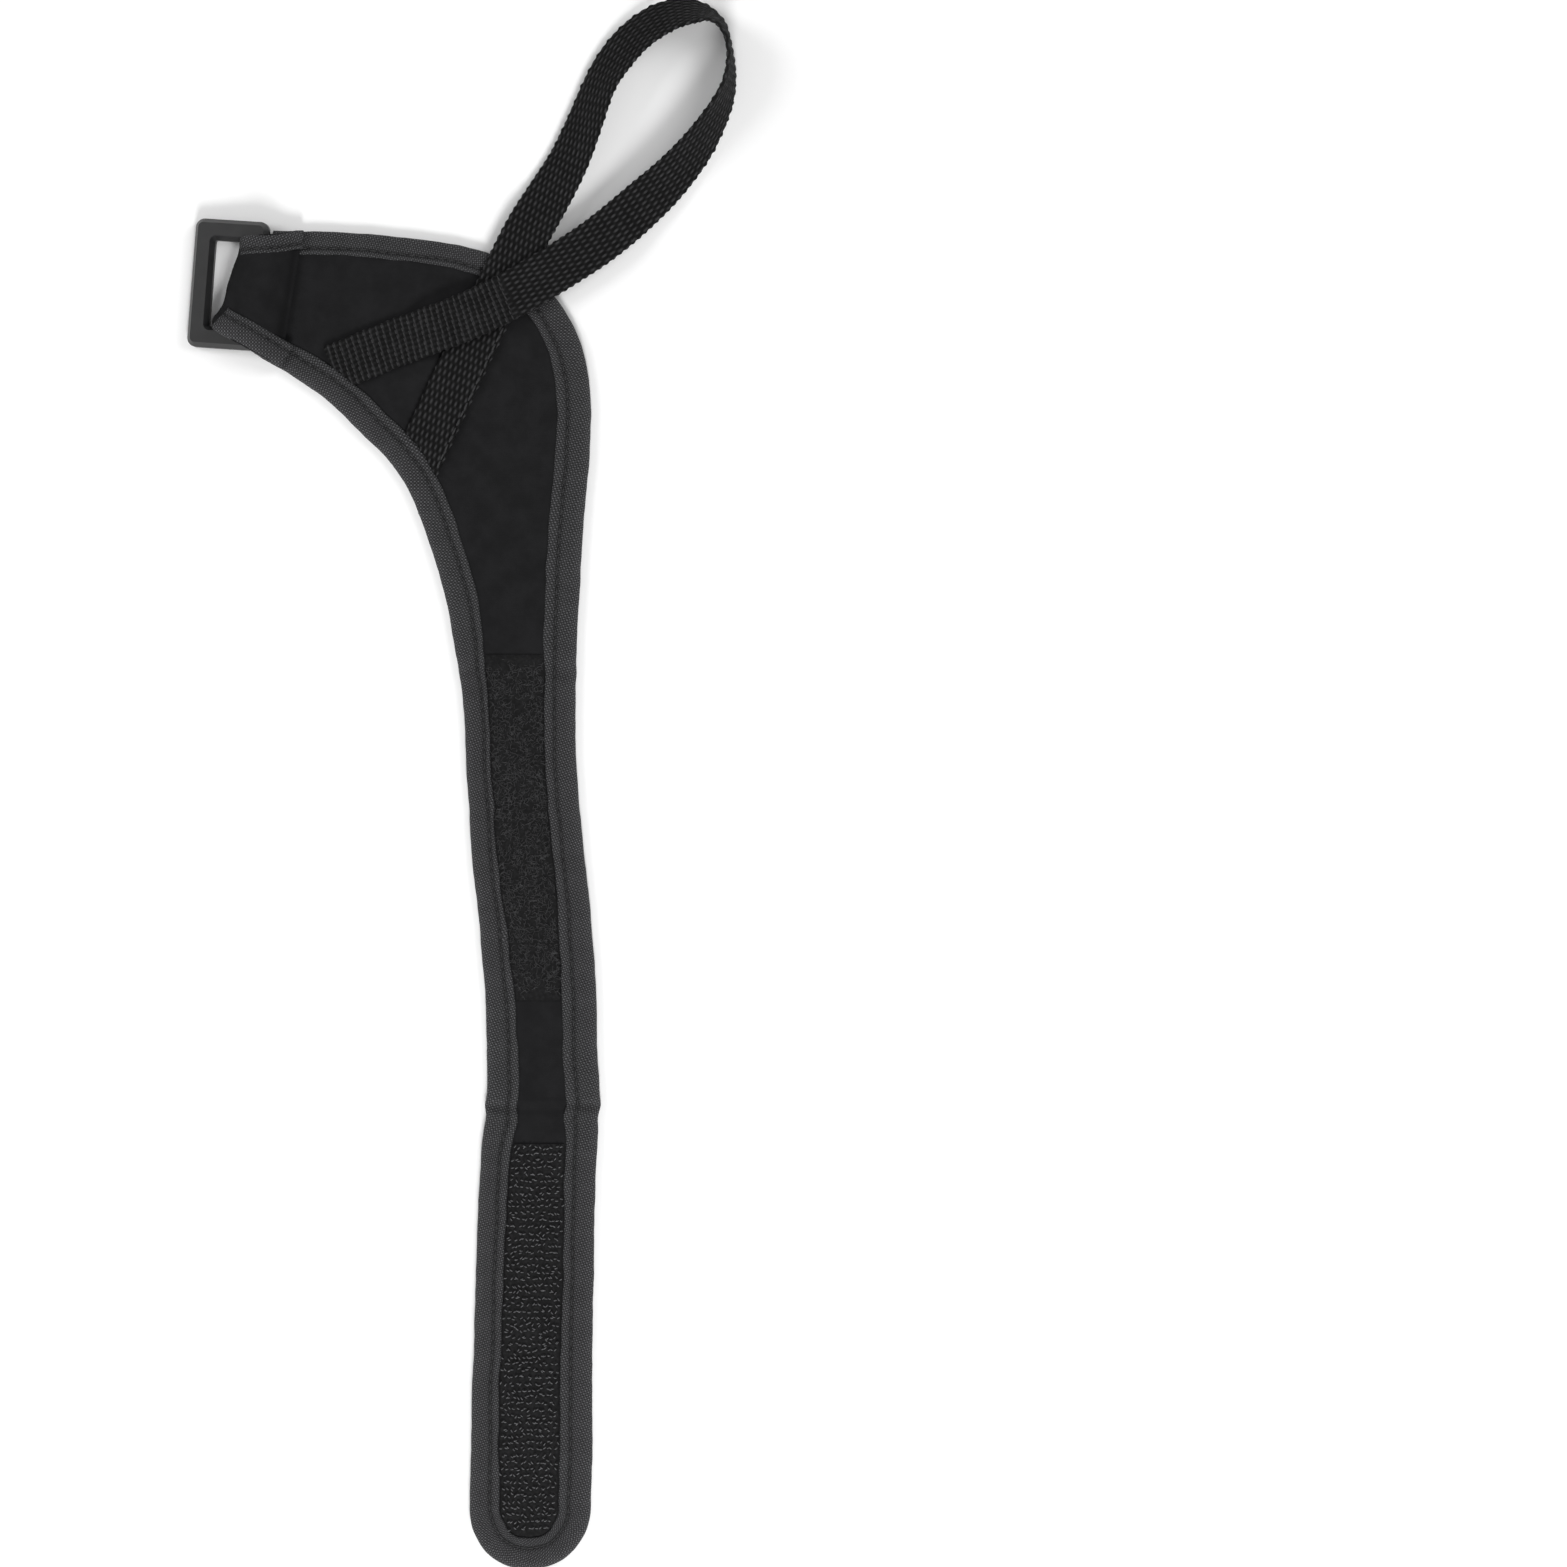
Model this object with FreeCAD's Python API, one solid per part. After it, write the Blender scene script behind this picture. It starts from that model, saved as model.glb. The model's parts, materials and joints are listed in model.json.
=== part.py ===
import FreeCAD, Part
import math
import os

# Cuff strap: a laminated palm panel that narrows into a wrap strap, edged with binding tape,
# with a webbing loop, a swivelling rectangular ring in a folded sleeve, and hook-and-loop closure.
#
# Millimetres. The strap lies flat, outer face up: Z = 0 is the underside of the lining, the origin is
# under the middle of the palm panel, -Y runs down the strap to its tip, and -X runs to the ring.

V = FreeCAD.Vector

# ---- laminate ------------------------------------------------------------------------------------
skin = 0.35             # thickness of the knitted face and of the lining
foam = 1.5              # thickness of the foam core
tape = 0.35             # thickness of the binding tape, and of the foam trimmed off for it
binding_outer = 8.2     # width of the binding on the outer, convex edge
binding_inner = 7.4     # width of the binding on the inner, concave edge
lip = 2.2               # strip of binding between its stitch row and its inner line
thread = 0.5            # width of a sewn row
thread_proud = 0.2      # height of a sewn row above the cloth

# ---- outline -------------------------------------------------------------------------------------
drawn_reach = 55.65     # reach that the outline's points are drawn for
palm_reach = 55.65      # from the origin to the axis of the ring's bar
palm_height_scale = 1.0  # how tall the palm panel is, as a multiple of its drawn height
strap_width = 29.0      # across the strap at its narrowest
tail_length = 120.4     # from the fold line to the tip

# ---- strap links ---------------------------------------------------------------------------------
first_wrap_y = -65.0    # where the strap starts to bend round the limb
link_pitch = 31.5       # between one wrap line and the next
wrap_links = 3          # full links; a shorter one follows, before the fold line
last_link = 26.5        # from the last wrap line to the fold line
link_gap = 0.3          # between the solids of two neighbouring links

# ---- hook-and-loop tapes -------------------------------------------------------------------------
loop_tape_thick = 1.1
hook_tape_thick = 1.2
loop_tape_start = 3.9   # from the first wrap line to the loop tape
loop_tape_length = 89.7
hook_tape_start = 9.9   # from the fold line to the hook tape
hook_tape_end = 8.6     # from the hook tape to the tip
tape_inset = 0.3        # between a closure tape and the binding beside it

# ---- ring ----------------------------------------------------------------------------------------
bar_diameter = 3.4      # round bar inside the sleeve
slot_width = 22.4       # clear width of the ring, along its bar
rail = 5.5              # width of the ring's flat sides
ring_thick = 3.4
ring_length = 19.5      # outer size across the bar
ring_corner = 2.4
slot_corner = 0.5
ring_bevel = 1.1        # width of the bevel along each upper edge of the ring
ring_wall = 1.6         # height of the ring's sides under the bevel
ring_centre_y = 26.6
ring_turn = 4.5         # degrees that the ring's bar leans from Y towards X
floor_clearance = 0.1   # under the free side of the ring

# ---- sleeve and flap -----------------------------------------------------------------------------
bar_clearance = 0.15    # between the bar and the sleeve
sleeve_clearance = 0.5  # between the sleeve and each side of the ring's slot
ring_sweep = 1.5        # clear of the ring's turning corners, to the full width of the panel
flap_length = 9.4       # from the bar's axis to the free end of the flap
flap_seam = 1.4         # from the end of the flap to its sewn row
layer_gap = 0.05        # between two cloths that lie on each other

# ---- webbing -------------------------------------------------------------------------------------
web_width = 12.3
web_thick = 1.3
loop_hinge = (20.8, 37.7)        # a point on the line where the free loop starts
loop_hinge_turn = -37.7          # degrees from X to that line
web_tuck_gap = 0.2               # between the webbing's sewn ends and the binding
web_tuck_top = 16.0              # y under which a sewn end stops at the binding
web_sections = 60
web_row_inset = 1.0              # from the webbing's edge to its sewn row

# Centre line of the webbing: (x, y, height of the centre, roll). Roll is in degrees, and dips the
# edge that faces out of the loop. It starts at the end of the lower leg.
LOWER_LEG = [(-14.6, -21.5, 0, 0), (-4.4, 0.4, 0, 0), (2.7, 15.3, 0, 0), (7.0, 24.1, 1, 0)]
FREE_LOOP = [(14.3, 39.2, 1, 0), (20.3, 49.6, 3.0, 14), (26.4, 60.3, 4.1, 34), (30.2, 69.3, 4.95, 45),
             (34.0, 78.8, 5.3, 50), (39.8, 87.9, 4.9, 44), (47.9, 95.4, 5.0, 46),
             (56.9, 98.3, 5.7, 58), (63.9, 95.7, 6.2, 74), (67.3, 88.9, 6.4, 87),
             (67.6, 80.6, 6.3, 80), (65.5, 73.3, 6.0, 68), (60.8, 65.0, 5.4, 54),
             (52.2, 54.6, 4.6, 36), (42.9, 46.0, 4.2, 16)]
UPPER_LEG = [(34.3, 38.8, 2, 4), (25.7, 33.0, 2, 0), (15.1, 26.6, 2, 0), (4.5, 21.0, 2, 0),
             (-7.5, 16.0, 2, 0), (-16.5, 12.9, 0, 0), (-24.5, 9.8, 0, 0), (-35.5, 5.2, 0, 0)]

# ---- derived heights -----------------------------------------------------------------------------
panel = skin + foam + skin
binding_top = panel + tape
sleeve_bore = bar_diameter / 2 + bar_clearance
sleeve_radius = sleeve_bore + panel
bar_height = sleeve_radius
bar_setback = rail / 2                        # from the bar's axis to the ring's far edge
neck_end = bar_setback + ring_sweep + 0.5
over_binding = binding_top + thread_proud + layer_gap
flap_under = over_binding + tape              # underside of the flap's laminate
flap_top = flap_under + panel
fold_y = first_wrap_y - wrap_links * link_pitch - last_link
tip_y = fold_y - tail_length
fold_height = panel + (loop_tape_thick + hook_tape_thick) / 2 + 0.25
web_rest = [panel + layer_gap + web_thick / 2,
            over_binding + web_thick / 2,
            over_binding + layer_gap + 1.5 * web_thick]
loop_hinge_height = web_rest[2] + web_thick / 2 + 0.1


def sized(x, y):
    """A drawn point, moved for the palm panel's reach towards the ring and for its height."""
    return x * palm_reach / drawn_reach if x < 0 else x, y * palm_height_scale if y > 0 else y


def strap_edges():
    """Points of the outer and inner edges of the strap, from the palm to the tail's shoulders."""
    stations = [  # y, x of the strap's middle, width over its narrowest
        (first_wrap_y, 11.8, 3.2), (first_wrap_y - 9, 12.5, 1.2), (first_wrap_y - 29, 13.3, -0.4),
        (first_wrap_y - 58, 15.4, 0.2), (first_wrap_y - 85, 18.0, 0.0),
        (fold_y + 13, 18.9, -0.2), (fold_y + 1.5, 19.0, 0.4), (fold_y - 13, 18.0, 1.0),
        (fold_y - 40, 17.0, 1.5), (tip_y + 44, 16.2, 2.2), (tip_y + 18, 15.8, 2.5)]
    outer = [(x + (strap_width + more) / 2, y) for y, x, more in stations]
    inner = [(x - (strap_width + more) / 2, y) for y, x, more in stations]
    return outer, inner


def tip_points():
    """The rounded end of the tail, from its outer shoulder to its inner one."""
    half = (strap_width + 2.0) / 2
    return [(15.7 + half * across, tip_y + up) for across, up in
            [(0.97, 11.8), (0.81, 6.6), (0.45, 1.6), (-0.02, 0.0), (-0.51, 1.9), (-0.82, 6.0),
             (-0.98, 11.2)]]


def outline_points():
    """The whole edge, clockwise from beyond the ring's end of the top edge, with each point's width."""
    palm = [(-78.0, 42.4), (-51.0, 41.4), (-36.0, 40.9), (-20.0, 39.9), (-8.0, 38.3),
            (4.0, 35.8), (15.1, 30.4), (23.4, 22.4), (28.6, 12.6), (31.1, 1.5), (31.4, -12.0),
            (30.1, -29.0), (28.7, -49.0)]
    hollow = [(-5.9, -55.5), (-9.2, -44.0), (-13.7, -31.0), (-20.3, -19.3), (-28.8, -10.7),
              (-38.8, -1.4), (-47.0, 4.2), (-57.2, 10.1), (-78.0, 21.0)]
    outer, inner = strap_edges()
    outer = [sized(*p) for p in palm] + outer
    inner = inner[::-1] + [sized(*p) for p in hollow]
    tip = tip_points()
    return outer + tip + inner, [binding_outer] * len(outer) + [
        binding_outer + (binding_inner - binding_outer) * (i + 1) / (len(tip) + 1)
        for i in range(len(tip))] + [binding_inner] * len(inner)


def edge_curve(points):
    curve = Part.BSplineCurve()
    curve.interpolate([V(x, y, 0) for x, y in points])
    return curve


POINTS, WIDTHS = outline_points()
EDGE = edge_curve(POINTS)


def inset(share, extra=0.0):
    """Face inside the outline, set in by share of the binding's width, plus extra."""
    moved = []
    for (x, y), width in zip(POINTS, WIDTHS):
        along = EDGE.tangent(EDGE.parameter(V(x, y, 0)))[0]
        depth = share * width + extra
        moved.append((x + along.y * depth, y - along.x * depth))
    curve = edge_curve(moved)
    ends = [V(*moved[-1], 0), V(*moved[0], 0)]
    return Part.Face(Part.Wire([curve.toShape(), Part.makeLine(*ends)]))


def slab(face, low, high):
    """The face as a solid from one height to another."""
    lifted = face.copy()
    lifted.translate(V(0, 0, low))
    return lifted.extrude(V(0, 0, high - low))


def band(outer, inner, low, high):
    return slab(outer, low, high).cut(slab(inner, low - 1, high + 1))


# ---- ring frame: u points from the ring's free side into the panel, v along the bar ------------
turn = math.radians(ring_turn)
U = V(math.cos(turn), -math.sin(turn), 0)
W = V(math.sin(turn), math.cos(turn), 0)
BAR = V(-palm_reach, ring_centre_y * palm_height_scale, 0)
FAR = 400.0


def at_ring(shape):
    """Moves a shape drawn about the bar's axis, with u along X and v along Y, to the ring."""
    moved = shape.copy()
    moved.rotate(V(), V(0, 0, 1), -ring_turn)
    moved.translate(BAR)
    return moved


def ring_box(u0, u1, v0, v1, z0, z1):
    return at_ring(Part.makeBox(u1 - u0, v1 - v0, z1 - z0, V(u0, v0, z0)))


def slice_y(low, high):
    """Box over a stretch of the strap, short of its neighbours by half a gap at each end."""
    return Part.makeBox(2 * FAR, high - low - link_gap, 60, V(-FAR, low + link_gap / 2, -20))


# Stretch of Y that each rigid link of the strap covers.
wrap_lines = [first_wrap_y - i * link_pitch for i in range(wrap_links + 1)] + [fold_y]
LINKS = {f"strap_{i + 1}": (wrap_lines[i + 1], wrap_lines[i]) for i in range(wrap_links + 1)}
LINKS["tail"] = (tip_y - 40, fold_y)
PALM_Y = (first_wrap_y, FAR)


def panel_plan():
    """Where the laminate is full width: right of the ring's turning corners."""
    return ring_box(neck_end, FAR, -FAR, FAR, -20, 40)


def sleeve_profile(inner, outer):
    """Section of one layer of the laminate round the bar: under it, round it and over it to the flap.
    inner and outer are the layer's distances from the bar's axis."""
    under = [V(FAR, 0, bar_height - outer), V(0, 0, bar_height - outer),
             V(0, 0, bar_height - inner), V(FAR, 0, bar_height - inner)]
    lower = Part.Face(Part.makePolygon(under + under[:1]))
    ring = Part.Face(Part.Wire([Part.makeCircle(outer, V(0, 0, bar_height), V(0, 1, 0))]))
    ring = ring.cut(Part.Face(Part.Wire([Part.makeCircle(inner, V(0, 0, bar_height), V(0, 1, 0))])))
    left = Part.makePolygon([V(-FAR, 0, -FAR), V(0, 0, -FAR), V(0, 0, FAR), V(-FAR, 0, FAR),
                             V(-FAR, 0, -FAR)])
    ring = ring.common(Part.Face(left))
    rise = flap_under - sleeve_bore
    crest = sleeve_bore / 2
    top = [V(0, 0, bar_height + inner), V(crest, 0, bar_height + inner),
           V(neck_end, 0, rise + inner), V(flap_length, 0, rise + inner),
           V(flap_length, 0, rise + outer), V(neck_end, 0, rise + outer),
           V(crest, 0, bar_height + outer), V(0, 0, bar_height + outer)]
    upper = Part.Face(Part.makePolygon(top + top[:1]))
    return [lower, ring, upper]


def laminate_layer(inner, outer, face):
    """One layer of the palm's laminate as a single solid, folded round the ring's bar."""
    narrow = (slot_width / 2 - sleeve_clearance)
    wide = panel_plan().common(slab(face, -1, 30))
    neck = ring_box(-30, neck_end, -narrow, narrow, -1, 30)
    plan = wide.fuse(neck)
    pieces = []
    for section in sleeve_profile(inner, outer):
        stretched = section.copy()
        stretched.translate(V(0, -FAR, 0))
        pieces.append(at_ring(stretched.extrude(V(0, 2 * FAR, 0))).common(plan))
    layer = pieces[0].fuse(pieces[1:]).removeSplitter()
    return layer.common(slice_y(*PALM_Y))


def ring_block(u0, u1, half, corner):
    """Plate whose sides are upright to ring_wall and lean inwards by ring_bevel above it.
    A negative corner radius leans them outwards, for the ring's slot."""
    lean = ring_bevel if corner > 0 else -ring_bevel
    radius = abs(corner)

    def level(shrink, z):
        a, b, h, r = u0 + shrink, u1 - shrink, half - shrink, radius - shrink
        corners = [(b - r, r - h, -90), (b - r, h - r, 0), (a + r, h - r, 90), (a + r, r - h, 180)]
        edges, ends = [], []
        for x, y, start in corners:
            arc = Part.makeCircle(r, V(x, y, z), V(0, 0, 1), start, start + 90)
            edges.append(arc)
            ends.append((arc.valueAt(arc.FirstParameter), arc.valueAt(arc.LastParameter)))
        loop = []
        for i, arc in enumerate(edges):
            loop += [arc, Part.makeLine(ends[i][1], ends[(i + 1) % 4][0])]
        return Part.Wire(loop)

    foot, waist, brim = -ring_thick / 2, ring_wall - ring_thick / 2, ring_thick / 2
    lower = Part.Face(level(0, foot)).extrude(V(0, 0, ring_wall))
    return lower.fuse(Part.makeLoft([level(0, waist), level(lean, brim)], True, True))


def ring_solid():
    """Flat moulded ring: three flat sides with bevelled upper edges, and a round bar on the fourth."""
    near, far, half = bar_setback, bar_setback - ring_length, slot_width / 2 + rail
    frame = ring_block(far, near, half, ring_corner)
    slot = ring_block(far + rail, near + 3 * rail, slot_width / 2, -slot_corner)
    frame = frame.cut(slot)
    reach = slot_width + rail
    bar = Part.makeCylinder(bar_diameter / 2, reach, V(0, -reach / 2, 0), V(0, 1, 0))
    ring = frame.fuse(bar).removeSplitter()
    droop = math.degrees(math.asin((bar_height - ring_thick / 2 - floor_clearance)
                                   / (ring_length - bar_setback)))
    ring.rotate(V(), V(0, 1, 0), -droop)
    ring.translate(V(0, 0, bar_height))
    return at_ring(ring)


def eased(marks, values):
    """Smooth function through the values that never overshoots them."""
    rises = [(b - a) / (n - m) for a, b, m, n in zip(values, values[1:], marks, marks[1:])]
    slopes = [0.0] + [2 * a * b / (a + b) if a * b > 0 else 0.0 for a, b in zip(rises, rises[1:])] + [0.0]

    def at(t):
        i = max(0, min(len(rises) - 1, sum(m <= t for m in marks) - 1))
        span = marks[i + 1] - marks[i]
        s = (t - marks[i]) / span
        start, end = s * s * (2 * s - 3) + 1, s * s * (3 - 2 * s)
        return (values[i] * start + values[i + 1] * end
                + span * (slopes[i] * s * (s - 1) ** 2 + slopes[i + 1] * s * s * (s - 1)))

    return at


def web_section(t, shift=0.0, width=web_width, low=-web_thick / 2, high=web_thick / 2):
    """Rectangle across the webbing at t. shift moves it towards the edge that faces out."""
    along = V(WEB_CURVE.tangent(t)[0])
    out = V(-along.y, along.x, 0)
    up = V(0, 0, 1)
    angle = math.radians(WEB_ROLL(t))
    side = out * math.cos(angle) - up * math.sin(angle)
    face = up * math.cos(angle) + out * math.sin(angle)
    corners = [(shift + width / 2, low), (shift + width / 2, high),
               (shift - width / 2, high), (shift - width / 2, low)]
    centre = WEB_CURVE.value(t) + up * WEB_HEIGHT(t)
    points = [centre + side * a + face * b for a, b in corners]
    return Part.makePolygon(points + points[:1])


def heights(stations):
    """Legs name the layer that they lie on; this turns the layer into a height."""
    return [(x, y, web_rest[int(z)], roll) for x, y, z, roll in stations]


WEB = heights(LOWER_LEG) + heights(FREE_LOOP[:1]) + FREE_LOOP[1:] + heights(UPPER_LEG)
WEB = [(*sized(x, y), z, roll) for x, y, z, roll in WEB]
WEB_CURVE = edge_curve([(x, y) for x, y, z, roll in WEB])
WEB_MARKS = [WEB_CURVE.parameter(V(x, y, 0)) for x, y, z, roll in WEB]
WEB_HEIGHT = eased(WEB_MARKS, [z for x, y, z, roll in WEB])
WEB_ROLL = eased(WEB_MARKS, [roll for x, y, z, roll in WEB])


def web_solid(first, last, sections, **section):
    """Webbing between two stations, counted along the whole strip."""
    t0, t1 = WEB_MARKS[first], WEB_MARKS[last]
    steps = [t0 + (t1 - t0) * i / (sections - 1) for i in range(sections)]
    return Part.makeLoft([web_section(t, **section) for t in steps], True, True)


def beyond_hinge(side):
    """Half space on one side of the line where the free loop starts. side is 1 for the free loop."""
    box = Part.makeBox(2 * FAR, FAR, 80, V(-FAR, link_gap / 2 if side > 0 else -FAR - link_gap / 2, -20))
    box.rotate(V(), V(0, 0, 1), loop_hinge_turn)
    box.translate(V(*sized(*loop_hinge), 0))
    return box


def build():
    whole, cloth, inside = inset(0), inset(0, tape), inset(1)
    beside = inset(1, tape_inset)
    row = [inset(1, -lip - thread / 2), inset(1, -lip + thread / 2)]
    nodes = {}

    binding = band(whole, inside, 0, binding_top).cut(slab(cloth, skin, panel))
    binding_row = band(*row, binding_top, binding_top + thread_proud)
    layers = {"core": slab(cloth, skin, skin + foam), "face": slab(cloth, skin + foam, panel),
              "lining": slab(inside, 0, skin), "binding": binding, "binding_thread": binding_row}

    # Palm: the three layers fold round the ring's bar and come back as the flap.
    nodes["palm_lining"] = laminate_layer(sleeve_bore + skin + foam, sleeve_radius, inside)
    nodes["palm_core"] = laminate_layer(sleeve_bore + skin, sleeve_bore + skin + foam, cloth)
    nodes["palm_face"] = laminate_layer(sleeve_bore, sleeve_bore + skin, cloth)
    palm = panel_plan().common(slice_y(*PALM_Y))
    for name, part in [("binding", binding), ("binding_thread", binding_row)]:
        sides = sorted(part.common(palm).Solids, key=lambda s: s.CenterOfMass.x)
        nodes[f"palm_{name}_inner"], nodes[f"palm_{name}_outer"] = sides
    flap_zone = ring_box(neck_end, flap_length, -FAR, FAR, -20, 40)
    turned = binding.common(flap_zone).mirror(V(), V(0, 0, 1))
    turned.translate(V(0, 0, binding_top + over_binding))
    nodes["flap_binding"] = turned
    seam = ring_box(flap_length - flap_seam - thread, flap_length - flap_seam, -FAR, FAR,
                    flap_top, flap_top + thread_proud)
    nodes["flap_thread"] = seam.common(slab(inset(1, thread), 0, 40))

    # Strap links and tail.
    loop_zone = (first_wrap_y - loop_tape_start - loop_tape_length, first_wrap_y - loop_tape_start)
    hook_zone = (tip_y + hook_tape_end, fold_y - hook_tape_start)
    closures = {
        "loop_tape": slab(beside, panel, panel + loop_tape_thick).common(slice_y(*loop_zone)),
        "hook_tape": slab(beside, panel, panel + hook_tape_thick).common(slice_y(*hook_zone))}
    for link, (low, high) in LINKS.items():
        stretch = slice_y(low, high)
        for name, part in {**layers, **closures}.items():
            piece = part.common(stretch)
            if piece.Solids:
                nodes[f"{link}_{name}"] = piece
    # The tail's sewn row is in two straight runs and a turn round the tip.
    turn_y = tip_y + strap_width
    runs = [nodes["tail_binding_thread"].common(slice_y(*stretch))
            for stretch in [(turn_y, fold_y), (tip_y - 1, turn_y)]]
    nodes["tail_binding_thread"] = Part.makeCompound([run for part in runs for run in part.Solids])

    # Webbing.
    free = len(LOWER_LEG)
    last = free + len(FREE_LOOP)
    outside = slab(inset(0, -20), -1, 40).cut(slab(inset(1, web_tuck_gap), -2, 41))
    under_binding = outside.common(Part.makeBox(FAR, FAR, 60, V(-FAR, web_tuck_top - FAR, -20)))
    legs = {"webbing_leg_lower": web_solid(0, free + 1, web_sections // 4),
            "webbing_leg_upper": web_solid(last, len(WEB) - 1, web_sections // 3)}
    for name, leg in legs.items():
        nodes[name] = leg.common(beyond_hinge(-1)).cut(under_binding)
    nodes["webbing_loop"] = web_solid(free - 1, last + 1, web_sections).common(beyond_hinge(1))
    edge = web_width / 2 - web_row_inset
    row_on_leg = web_solid(0, 2, web_sections // 6, shift=-edge, width=thread,
                           low=web_thick / 2 + layer_gap, high=web_thick / 2 + thread_proud)
    nodes["webbing_thread"] = row_on_leg.cut(under_binding)
    nodes["ring"] = ring_solid()
    return nodes


def main():
    os.makedirs("parts", exist_ok=True)
    for name, shape in build().items():
        solids = shape.Solids
        bad = [s for s in solids if not s.isValid()]
        print(f"{name:26s} solids {len(solids)} volume {sum(s.Volume for s in solids):9.2f}"
              f"{'  INVALID' if bad or not solids else ''}")
        Part.makeCompound(solids).exportStep(f"parts/{name}.step")


main()
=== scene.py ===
import json
import math
import random

import bmesh
import bpy
import numpy as np
from bpy.props import FloatProperty, FloatVectorProperty, IntProperty, PointerProperty
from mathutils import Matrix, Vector


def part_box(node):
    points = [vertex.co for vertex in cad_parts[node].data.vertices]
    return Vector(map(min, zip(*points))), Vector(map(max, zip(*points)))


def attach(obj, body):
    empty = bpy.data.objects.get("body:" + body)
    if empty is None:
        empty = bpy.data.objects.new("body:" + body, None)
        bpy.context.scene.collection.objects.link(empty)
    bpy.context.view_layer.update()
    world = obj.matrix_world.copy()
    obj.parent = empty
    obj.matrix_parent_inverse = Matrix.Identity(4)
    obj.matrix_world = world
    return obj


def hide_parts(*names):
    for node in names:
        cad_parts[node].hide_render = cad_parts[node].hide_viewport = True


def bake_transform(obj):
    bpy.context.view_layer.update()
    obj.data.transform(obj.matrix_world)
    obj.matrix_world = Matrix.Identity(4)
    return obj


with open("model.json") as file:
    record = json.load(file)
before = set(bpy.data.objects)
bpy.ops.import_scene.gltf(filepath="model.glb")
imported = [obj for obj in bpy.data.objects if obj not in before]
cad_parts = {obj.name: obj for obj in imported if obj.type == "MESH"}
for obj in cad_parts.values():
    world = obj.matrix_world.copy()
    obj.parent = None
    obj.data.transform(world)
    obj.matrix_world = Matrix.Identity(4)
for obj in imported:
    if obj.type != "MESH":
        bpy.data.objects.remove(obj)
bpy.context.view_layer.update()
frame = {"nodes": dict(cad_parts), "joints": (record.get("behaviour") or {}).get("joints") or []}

bl_info = {
    "name": "Cuff Strap",
    "version": (1, 0, 0),
    "blender": (4, 5, 0),
    "location": "View3D > Sidebar > Cuff Strap",
    "description": "Dresses a cuff strap's frame: laminate, binding, webbing loop, closure tapes and ring",
    "category": "Object",
}

MM = 0.001
JOINTS = {joint["name"]: joint for joint in frame["joints"]}
WRAP_Y = [JOINTS[name]["pos_m"][1] / MM for name in ("wrap_1", "wrap_2", "wrap_3", "wrap_4")]
FOLD_Y = JOINTS["tail_fold"]["pos_m"][1] / MM
BAR = Vector(JOINTS["ring_swivel"]["pos_m"]) / MM
BAR_ALONG = Vector(JOINTS["ring_swivel"]["axis"])
BAR_ACROSS = Vector((BAR_ALONG.y, -BAR_ALONG.x, 0))
TIP_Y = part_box("tail_binding")[0].y / MM

# The cut edge of the strap in millimetres, clockwise from the ring's end of the top edge. Each point
# has how far in from the edge the binding's sewn groove and its inner line are.
PALM_EDGE = [
    (-78.0, 42.4, 4.4, 6.2), (-51.0, 41.4, 4.4, 6.2), (-36.0, 40.9, 4.4, 6.2), (-20.0, 39.9, 4.4, 6.2),
    (-8.0, 38.3, 4.4, 6.2), (4.0, 35.8, 4.7, 6.6), (15.1, 30.4, 5.3, 7.6), (23.4, 22.4, 5.8, 8.4),
    (28.6, 12.6, 6.0, 8.7), (31.1, 1.5, 6.0, 8.8), (31.4, -12.0, 6.0, 8.9), (30.1, -29.0, 6.0, 9.0),
    (28.7, -49.0, 6.0, 9.0)]
HOLLOW_EDGE = [
    (-5.9, -55.5, 5.8, 8.2), (-9.2, -44.0, 5.8, 8.3), (-13.7, -31.0, 5.7, 8.3),
    (-20.3, -19.3, 5.6, 8.3), (-28.8, -10.7, 5.5, 8.1), (-38.8, -1.4, 5.4, 7.9), (-47.0, 4.2, 5.0, 7.2),
    (-57.2, 10.1, 4.9, 7.0), (-78.0, 21.0, 4.9, 7.0)]
# Down the strap: y from the first wrap line, centre x, width; then groove and line, outer and inner.
STRAP_STATIONS = [
    (0.0, 11.8, 32.2, 5.7, 8.7, 5.8, 7.9), (-9.0, 12.5, 30.2, 5.5, 8.2, 5.0, 6.8),
    (-29.0, 13.3, 28.6, 5.5, 8.1, 4.9, 6.5), (-58.0, 15.4, 29.2, 5.5, 8.1, 4.9, 6.6),
    (-85.0, 18.0, 29.0, 5.9, 8.9, 5.2, 7.4), (-108.0, 18.9, 28.8, 6.0, 9.0, 5.8, 8.2),
    (-119.5, 19.0, 29.4, 6.0, 9.0, 5.9, 8.5), (-134.0, 18.0, 30.0, 5.6, 8.2, 5.0, 7.6),
    (-161.0, 17.0, 30.5, 5.5, 7.9, 4.9, 7.3), (-197.4, 16.2, 31.2, 5.6, 8.4, 4.9, 7.1),
    (-223.4, 15.8, 31.5, 5.8, 8.5, 5.3, 7.8)]
TIP_SHARE = [(0.97, 11.8), (0.81, 6.6), (0.45, 1.6), (-0.02, 0.0), (-0.51, 1.9), (-0.82, 6.0), (-0.98, 11.2)]
TIP_MIDDLE = (15.7, 15.5)   # centre x and half width of the rounded end
TIP_BINDING = (5.7, 8.3)    # groove and line round it

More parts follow.
